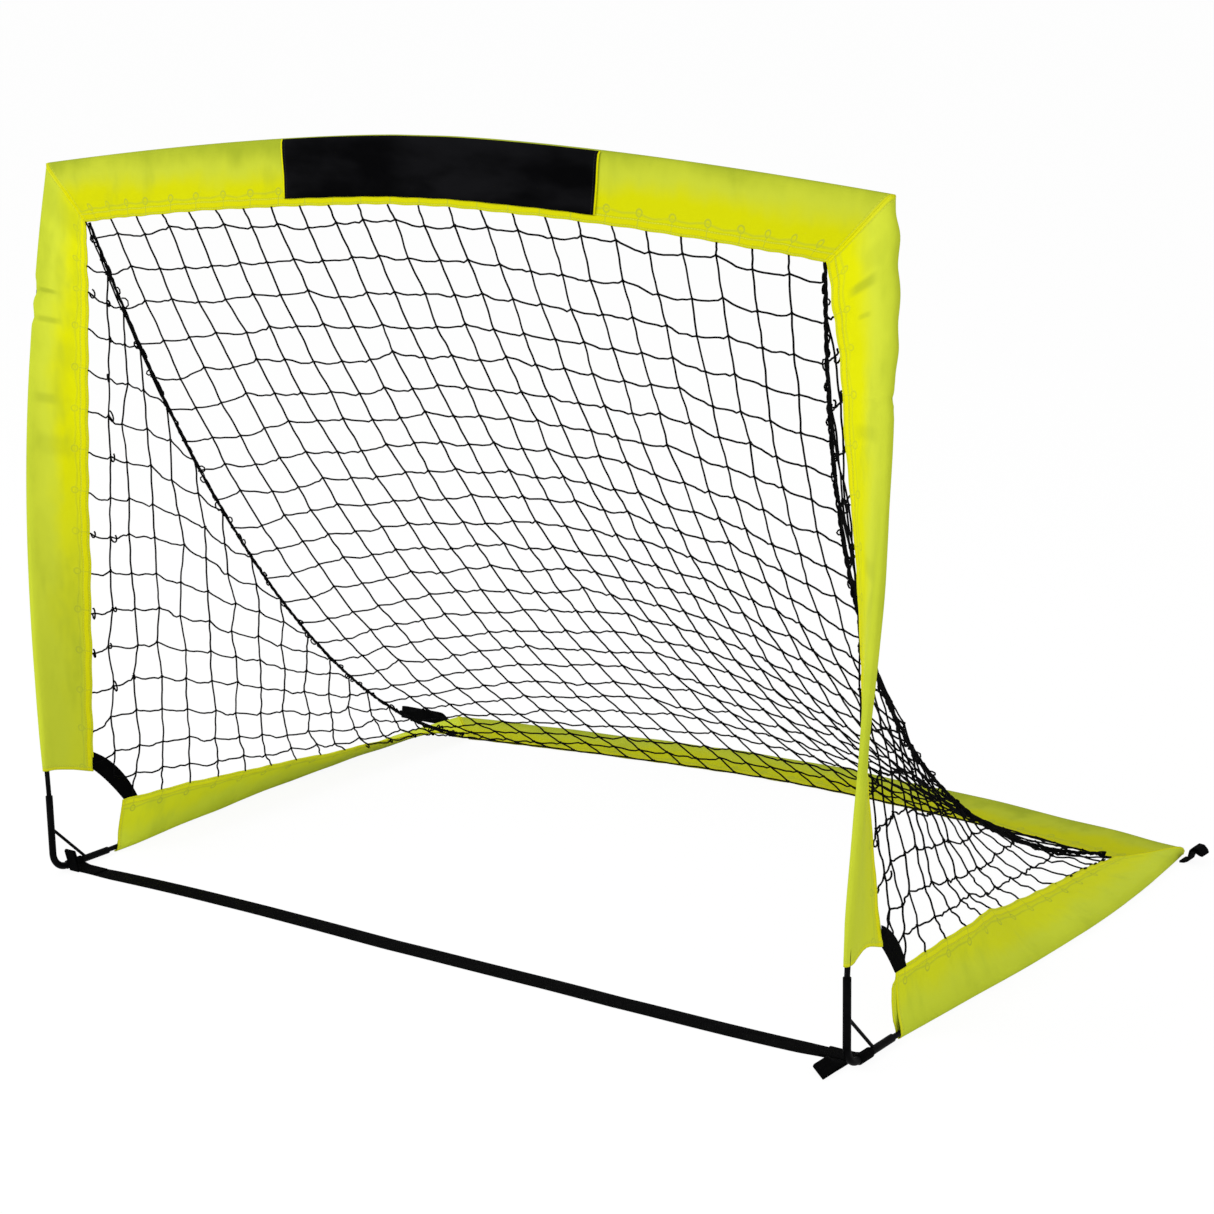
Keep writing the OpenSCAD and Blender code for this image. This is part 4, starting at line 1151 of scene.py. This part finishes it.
def strand(a, b, seed, slack, sag, kink):
    """Points from knot a to knot b: slack twine sags, sways and springs back beside its knots."""
    steps = 7
    line = (b - a).normalized()
    other = Vector((0, 0, 1)) if abs(line.z) < 0.7 else Vector((1, 0, 0))
    out = line.cross(other).normalized()
    along = line.cross(out)
    points = []
    for k in range(steps + 1):
        t = k / steps
        hump = 4 * t * (1 - t)
        sway = slack * hump * ripple(seed * 3.7, t * 2.3, seed)
        lift = slack * hump * ripple(seed * 1.9, t * 2.1, seed + 40)
        spring = kink * ripple(seed * 5.3, 0.4, 7.7) * math.sin(2 * math.pi * t) * hump
        hook = kink * (1 if k == steps - 1 else 0) * (0.6 + 0.6 * ripple(seed, 8.8, seed))
        p = mix(a, b, t) + along * sway + out * (lift + spring)
        points.append(above_ground(p - Vector((0, 0, sag * hump + hook))))
    return points


def net_runs(knots, seed, column_slack, row_slack, row_sag, hidden, foot_slack=0.0):
    """Rows and columns of twine between knots, apart from those that hidden(i, j, di) leaves out."""
    runs = []
    for (i, j), a in sorted(knots.items()):
        for di, dj in ((1, 0), (0, 1)):
            b = knots.get((i + di, j + dj))
            if b is None or hidden(i, j, di):
                continue
            mark = seed + i * 1.31 + j * 2.17 + di * 0.53
            if di:
                run = strand(a, b, mark, row_slack, row_sag, 0.0022)
            else:
                loose = foot_slack * max(0, 1 - j / 4)
                run = strand(a, b, mark, column_slack + loose, 0, 0.0004 + loose * 0.5)
            if (j, i)[di] == 0:
                run.insert(0, above_ground(a + (a - b).normalized() * 0.0022))
            runs.append(run)
    return runs


def curl(at, out, down, size, turns):
    """A short loose end of twine that hangs from a knot and curls up."""
    points = [at]
    steps = 7
    for k in range(1, steps + 1):
        angle = 2 * math.pi * turns * k / steps
        reach = size * (1 - 0.35 * k / steps)
        points.append(at + out * reach * (1 - math.cos(angle)) * 0.6 + down * reach * math.sin(angle))
    return [above_ground(p) for p in points]


def add_knots(bm, knots, size, seed):
    """A small lump of twine where a row and a column are tied."""
    dice = random.Random(seed)
    for place in knots:
        turn = Matrix.Rotation(dice.uniform(0, 6.28), 4, (dice.random(), dice.random(), 0.5))
        spans = (size * dice.uniform(1.0, 1.4), size * 0.8, size * dice.uniform(0.8, 1.1), 1)
        shape = Matrix.Diagonal(spans)
        bmesh.ops.create_icosphere(
            bm, subdivisions=1, radius=1, matrix=Matrix.Translation(place) @ turn @ shape
        )


def finish_net(name, bm, nodes):
    """Makes twine a piece that stretches from the base up to the arch."""
    piece = add_piece(name, bm, twine_black)
    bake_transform(piece)
    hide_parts(*nodes)


def back_net():
    """The back net: its columns run from the top hem to the rear hem."""
    knots = back_knots()
    runs = net_runs(knots, 2.0, 0.0014, 0.0030, 0.0022, lambda i, j, di: di and j == 0)
    bm = twine_mesh("back net", runs, TWINE_R)
    add_knots(bm, [p for (i, j), p in knots.items() if j > 0], KNOT_R, 5)
    finish_net("back_net_twine", bm, ["back_net_foot", "back_net_lower", "back_net_upper", "back_net_top"])


def side_net(side, word):
    """A side net between post, base and seam cord, with loose ends by its hems."""
    knots = side_knots(side)
    n = SIDE_CELLS

    def hidden(i, j, di):
        """The border twine lies in the hems, apart from the base hem's rear end."""
        return (i == 0 and not di) or (j == 0 and di and i < n * 0.65)

    runs = net_runs(knots, 7.0 + side, 0.0018, 0.0042, 0.0030, hidden, 0.0036 if side > 0 else 0.0010)
    dice = random.Random(61 + side)
    inward = Vector((-side, 0, 0))
    for j in range(3, n - 1):
        for i in (0, 1, 2):
            if (i, j) in knots and dice.random() < (0.35, 0.85, 0.4)[i] * mix(0.5, 1.2, j / n):
                out = Vector((dice.uniform(-1, 1), dice.uniform(0.2, 1), 0)).normalized()
                down = Vector((0, 0, -1)) + inward * dice.uniform(0, 0.4)
                size = dice.uniform(0.0045, 0.0095)
                runs.append(curl(knots[i, j], out, down, size, dice.uniform(0.5, 0.8)))
    for i in range(n - 5, n):
        along = Vector((0, 1, 0))
        face = base_inner_face(side, i)
        runs.append(curl(face, along, Vector((0, 0, -1)) + inward * 0.8, 0.007, 0.45))
    bm = twine_mesh("side net", runs, TWINE_R)
    add_knots(bm, [p for (i, j), p in knots.items() if i > 0 and j > 0], KNOT_R, 9 + side)
    finish_net("side_net_twine_" + word, bm, ["side_net_" + word])


def edge_cord(side, word):
    """The seam cord: three strands laid about each other, and the gathered meshes' loops along it."""
    dice = random.Random(31 + side)
    steps = 240
    centre = [cords[side](k / steps) for k in range(steps + 1)]
    runs = []
    for ply in range(3):
        points = []
        for k, p in enumerate(centre):
            ahead = (centre[min(k + 1, steps)] - centre[max(k - 1, 0)]).normalized()
            e1 = ahead.cross(Vector((1, 0, 0))).normalized()
            e2 = ahead.cross(e1)
            turn = 2 * math.pi * (k * 0.115 + ply / 3) + 0.8 * ripple(k * 0.06, ply, 4.4)
            reach = CORD_STRAND_R[side] * 1.25 * (1 + 0.55 * ripple(k * 0.13, ply, 9.2))
            points.append(above_ground(p + (e1 * math.cos(turn) + e2 * math.sin(turn)) * reach))
        runs.append(points)
    bm = twine_mesh("edge cord", runs, CORD_STRAND_R[side])
    tufts = []
    for k in range(3, steps - 2, 3):
        base = centre[k] + Vector([dice.uniform(-0.002, 0.002) for _ in range(3)])
        ahead = (centre[k + 1] - centre[k]).normalized()
        out = ahead.cross(Vector([dice.uniform(-1, 1) for _ in range(3)])).normalized()
        reach = dice.choice((0.0028, 0.0034, 0.0042, 0.0060))
        back = base + ahead * dice.uniform(0.007, 0.014)
        bend = [base, mix(base, back, 0.12) + out * reach * 0.7, mix(base, back, 0.45) + out * reach]
        bend += [mix(base, back, 0.85) + out * reach * 0.75, back]
        tufts.append([above_ground(p) for p in bend])
    loops = twine_mesh("edge cord loops", tufts, TWINE_R * 0.9)
    mesh = bpy.data.meshes.new("loops")
    loops.to_mesh(mesh)
    loops.free()
    bm.from_mesh(mesh)
    bpy.data.meshes.remove(mesh)
    finish_net("edge_cord_twine_" + word, bm, ["edge_cord_" + word])


back_net()
for side, word in ((1, "right"), (-1, "left")):
    side_net(side, word)
    edge_cord(side, word)

# ---------------------------------------------------------------- webbing
ACROSS_X = Vector((1, 0, 0))
ACROSS_Y = Vector((0, 1, 0))
UPWARDS = Vector((0, 0, 1))
STRAP_END_IN = 4 * MM
WRAP_R = 5.35 * MM  # from the leg's middle to the middle of the tape round it
WRAP_TURN = 2 * math.pi * 0.80
WRAP_TAIL = 43 * MM
WRAP_LENGTH = 75 * MM
CORNER_WEB_LENGTH = 110 * MM
LOOP_LENGTH = 90 * MM
LOOP_W = 20 * MM
LOOP_ROOT = 10 * MM  # a stake loop's two layers lie together this far
LOOP_TURN_START = 4 * MM  # a loop that turns on edge does so from here
LOOP_TURN_REACH = 18 * MM
LEFT_REAR_LOOP_W = 17.5 * MM
RIGHT_FRONT_LOOP_LENGTH = 47 * MM
LEFT_FRONT_LOOP_LENGTH = 31 * MM
LEFT_FRONT_LOOP_W = 16 * MM


def tape(name, line, width, length, steps, thickness, flat_of):
    """A strip of webbing along a line of points; flat_of(t) is the direction across it."""
    columns = 6

    def place(i, j):
        t = j / steps
        return above_ground(line(t) + flat_of(t) * (width * (i / columns - 0.5)), thickness / 2)

    bm = laid_grid(columns, steps, place, lambda i, j: (width * i / columns, length * j / steps))
    piece = add_piece(name, bm, webbing)
    wall = piece.modifiers.new("tape", "SOLIDIFY")
    wall.thickness = thickness
    wall.offset = 0
    rounded = piece.modifiers.new("soft edge", "BEVEL")
    rounded.width = thickness * 0.3
    rounded.segments = 2
    rounded.limit_method = "ANGLE"
    return piece


def ground_strap():
    """The strap across the mouth: flat on the ground, and a little wider where it lies slack."""

    def line(t):
        x = mix(-HALF_W + STRAP_END_IN, HALF_W - STRAP_END_IN, t)
        lift = 0.0009 * abs(ripple(x * 6, 0.3, 5.5)) * eased((HALF_W - abs(x)) / 0.08)
        return Vector((x, along_table(STRAP_SWAY, x, 0.03), WEB_T / 2 + lift))

    def flat_of(t):
        slack = eased((HALF_W - abs(line(t).x) - 0.03) / 0.05)
        return ACROSS_Y * mix(STRAP_W / SLACK_STRAP_W, 1, slack)

    piece = tape("ground_strap_webbing", line, SLACK_STRAP_W, 2 * HALF_W, 160, WEB_T, flat_of)
    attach(piece, "base")
    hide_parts("ground_strap")


def strap_wrap(side, word):
    """The strap's end: round the bracket's leg and back along the strap, sewn down."""

    def round_leg(angle):
        return HALF_W + WRAP_R * math.sin(angle), ROD_Z - WRAP_R * math.cos(angle)

    def line(t):
        arc = WRAP_R * WRAP_TURN
        go = t * (arc + WRAP_TAIL)
        x, z = round_leg(min(go / WRAP_R, WRAP_TURN))
        tail = max(0, go - arc)
        z = mix(z, WEB_T * 1.62, eased(tail / WRAP_TAIL * 3.2))
        return Vector((side * (x - tail), 0, z))

    piece = tape(
        "strap_wrap_webbing_" + word, line, STRAP_W * 0.98, WRAP_LENGTH, 60, WEB_T * 0.9, lambda t: ACROSS_Y
    )
    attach(piece, "base")
    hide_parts("strap_wrap_" + word)


def corner_webbing(side, word):
    """A short arch of webbing from the post's hem down to the base's hem."""

    def line(t):
        return webbing_arch(side, t)

    def flat_of(t):
        turn = t * math.pi / 2
        return Vector((0, math.sin(turn), math.cos(turn))) * -side

    piece = tape("corner_webbing_tape_" + word, line, WEB_W, CORNER_WEB_LENGTH, 24, WEB_T, flat_of)
    mesh = piece.data
    baked = bpy.data.meshes.new_from_object(piece.evaluated_get(bpy.context.evaluated_depsgraph_get()))
    piece.modifiers.clear()
    piece.data = baked
    bpy.data.meshes.remove(mesh)
    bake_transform(piece)
    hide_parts("corner_webbing_" + word)


def loop_line(length, eye, low):
    """Side view of a doubled stake loop: out along the lower layer, round the eye and back."""
    r = eye / 2 + WEB_T / 2
    end = length - r - WEB_T / 2
    opening = [k / 5 for k in range(1, 6)]
    bend = [math.pi * k / 12 for k in range(1, 12)]
    points = [(0.0, 0.0), (LOOP_ROOT, 0.0)]
    points += [(LOOP_ROOT + 1.2 * r * k, -eased(k) * low) for k in opening]
    points += [(end, -low)]
    points += [(end + r * math.sin(angle), -low + r - r * math.cos(angle)) for angle in bend]
    points += [(end, -low + 2 * r)]
    points += [(LOOP_ROOT + 1.2 * r * k, mix(WEB_T, 2 * r - low, eased(k))) for k in reversed(opening)]
    points += [(LOOP_ROOT, WEB_T), (0.0, WEB_T)]
    return points


def folded_loop_line():
    """Side view of a doubled loop that runs out past the sleeve, stands up and folds over outwards.

    Its first part stays low, so that the loop clears the sleeve when it is folded up on its root.
    """
    middle = [(0.0000, 0.0000), (0.0060, 0.0006), (0.0105, 0.0026), (0.0122, 0.0070), (0.0133, 0.0120)]
    middle += [(0.0150, 0.0165), (0.0185, 0.0190), (0.0235, 0.0180), (0.0280, 0.0145)]
    # half the distance between the two layers at each of those points, in millimetres
    apart = [0.65, 0.65, 0.65, 0.7, 0.9, 1.5, 2.6, 3.2, 2.2]
    sides = []
    for k, (x, z) in enumerate(middle):
        before = middle[max(k - 1, 0)]
        after = middle[min(k + 1, len(middle) - 1)]
        run = Vector((after[0] - before[0], after[1] - before[1])).normalized()
        off = apart[k] * MM
        sides.append(((x + run.y * off, z - run.x * off), (x - run.y * off, z + run.x * off)))
    tip = (0.0310, 0.0120)
    return [a for a, b in sides] + [tip] + [b for a, b in reversed(sides)]


def stake_loop(name, body, points, width, at, ahead, across, up, on_edge=0.0, skew=0.0):
    """A doubled length of webbing with an open eye, laid from its root along ahead.

    points is its side view; past its root the tape turns on edge by on_edge, and skew slants it.
    """
    spans = [0.0]
    for p, q in zip(points, points[1:]):
        spans.append(spans[-1] + math.dist(p, q))

    def turned(x):
        """How much of its turn the tape has made, that far out from its root."""
        return eased((x - LOOP_TURN_START) / LOOP_TURN_REACH)

    def line(t):
        go = t * spans[-1]
        k = min(max(bisect.bisect_left(spans, go) - 1, 0), len(points) - 2)
        share = (go - spans[k]) / (spans[k + 1] - spans[k])
        x = mix(points[k][0], points[k + 1][0], share)
        z = mix(points[k][1], points[k + 1][1], share)
        turn = on_edge * turned(x)
        swung = up * math.cos(turn) - across * math.sin(turn)
        return at + ahead * x + swung * z + up * (width / 2 - at.z) * abs(math.sin(turn))

    def flat_of(t):
        share = turned((line(t) - at).dot(ahead))
        turn = on_edge * share
        return across * math.cos(turn) + up * math.sin(turn) + ahead * (skew * share)

    place, word = name
    piece = tape(place + "_loop_webbing_" + word, line, width, spans[-1], 90, WEB_T, flat_of)
    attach(piece, body)
    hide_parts("stake_loop_" + place + "_" + word)


ground_strap()
for side, word in ((1, "right"), (-1, "left")):
    strap_wrap(side, word)
    corner_webbing(side, word)
REAR_EYE = 7 * MM
RIGHT_FRONT_EYE = 2.2 * MM
LEFT_FRONT_EYE = 2.5 * MM
LEFT_FRONT_SHIFT = 5 * MM
EYE_OUT = REAR_EYE / 2 + WEB_T
rear_root = Vector((0.6008, 0.7885, EYE_OUT))
stake_loop(
    ("rear", "right"),
    "rear_right_loop",
    folded_loop_line(),
    LOOP_W,
    rear_root - UPWARDS * (EYE_OUT - WEB_T),
    ACROSS_X,
    ACROSS_Y,
    UPWARDS,
)
stake_loop(
    ("rear", "left"),
    "rear_left_loop",
    loop_line(LOOP_LENGTH, REAR_EYE, EYE_OUT - WEB_T),
    LEFT_REAR_LOOP_W,
    mirrored(rear_root, -1),
    -ACROSS_X,
    ACROSS_Y,
    UPWARDS,
    on_edge=math.radians(80),
)
front_root = Vector((0.570, -0.0142, WEB_T / 2))
stake_loop(
    ("front", "right"),
    "front_right_loop",
    loop_line(RIGHT_FRONT_LOOP_LENGTH, RIGHT_FRONT_EYE, 0.0),
    LOOP_W,
    front_root,
    -ACROSS_Y,
    ACROSS_X,
    UPWARDS,
    on_edge=-math.radians(16),
    skew=0.6,
)
STAND = math.radians(75)
stake_loop(
    ("front", "left"),
    "front_left_loop",
    loop_line(LEFT_FRONT_LOOP_LENGTH, LEFT_FRONT_EYE, 0.0),
    LEFT_FRONT_LOOP_W,
    mirrored(front_root, -1) - ACROSS_X * LEFT_FRONT_SHIFT,
    UPWARDS * math.sin(STAND) - ACROSS_Y * math.cos(STAND),
    ACROSS_X,
    UPWARDS * math.cos(STAND) + ACROSS_Y * math.sin(STAND),
)

# ---------------------------------------------------------------- floor, light
FLOOR_HALF = 200
FLOOR_DROP = 0.4 * MM
FLOOR_GLOW = 1.035
GLOW_SHARE = 0.90
SURROUND_LIGHT = 0.62


def floor():
    """A pale floor that the camera sees nearly white, with soft shadows."""
    bm = bmesh.new()
    bmesh.ops.create_grid(bm, x_segments=1, y_segments=1, size=FLOOR_HALF)
    f = Finish("studio floor")
    tree = f.tree
    plain = f.node("BsdfDiffuse", {}, {"Color": (0.90, 0.90, 0.90)})
    lit = f.node("Emission", {}, {"Color": (1.0, 1.0, 1.0), "Strength": FLOOR_GLOW})
    path = f.node("LightPath", output="Is Camera Ray")
    gloss = f.node("LightPath", output="Is Glossy Ray")
    shown = f.node("MixShader", {}, {0: path.high(gloss) * GLOW_SHARE, 1: plain, 2: lit})
    tree.links.new(shown.socket, tree.nodes["Material Output"].inputs["Surface"])
    piece = add_piece("studio_floor", bm, f.material, smooth=False)
    piece.data.transform(Matrix.Translation((0, 0, -FLOOR_DROP)))


def studio_light():
    """A white surround that lights the cloth softly, with a key and a fill lamp."""
    world = bpy.data.worlds.new("studio")
    bpy.context.scene.world = world
    world.use_nodes = True
    tree = world.node_tree
    background = tree.nodes["Background"]
    path = tree.nodes.new("ShaderNodeLightPath")
    either = tree.nodes.new("ShaderNodeMath")
    either.operation = "MAXIMUM"
    tree.links.new(path.outputs["Is Camera Ray"], either.inputs[0])
    tree.links.new(path.outputs["Is Glossy Ray"], either.inputs[1])
    strength = tree.nodes.new("ShaderNodeMapRange")
    strength.inputs["To Min"].default_value = SURROUND_LIGHT
    strength.inputs["To Max"].default_value = 1.0
    tree.links.new(either.outputs[0], strength.inputs["Value"])
    tree.links.new(strength.outputs[0], background.inputs["Strength"])
    background.inputs["Color"].default_value = (1, 1, 1, 1)
    for name, place, aim, size, power in (
        ("key light", (-2.2, -3.2, 3.4), (0, 0.2, 0.4), 2.6, 95),
        ("fill light", (3.2, -2.4, 2.2), (0, 0.3, 0.3), 2.4, 30),
    ):
        lamp = bpy.data.lights.new(name, "AREA")
        lamp.energy = power
        lamp.size = size
        holder = bpy.data.objects.new(name, lamp)
        bpy.context.collection.objects.link(holder)
        turn = (Vector(aim) - Vector(place)).to_track_quat("-Z", "Y")
        holder.matrix_world = Matrix.Translation(place) @ turn.to_matrix().to_4x4()


floor()
studio_light()
bpy.context.scene.view_settings.view_transform = "Standard"
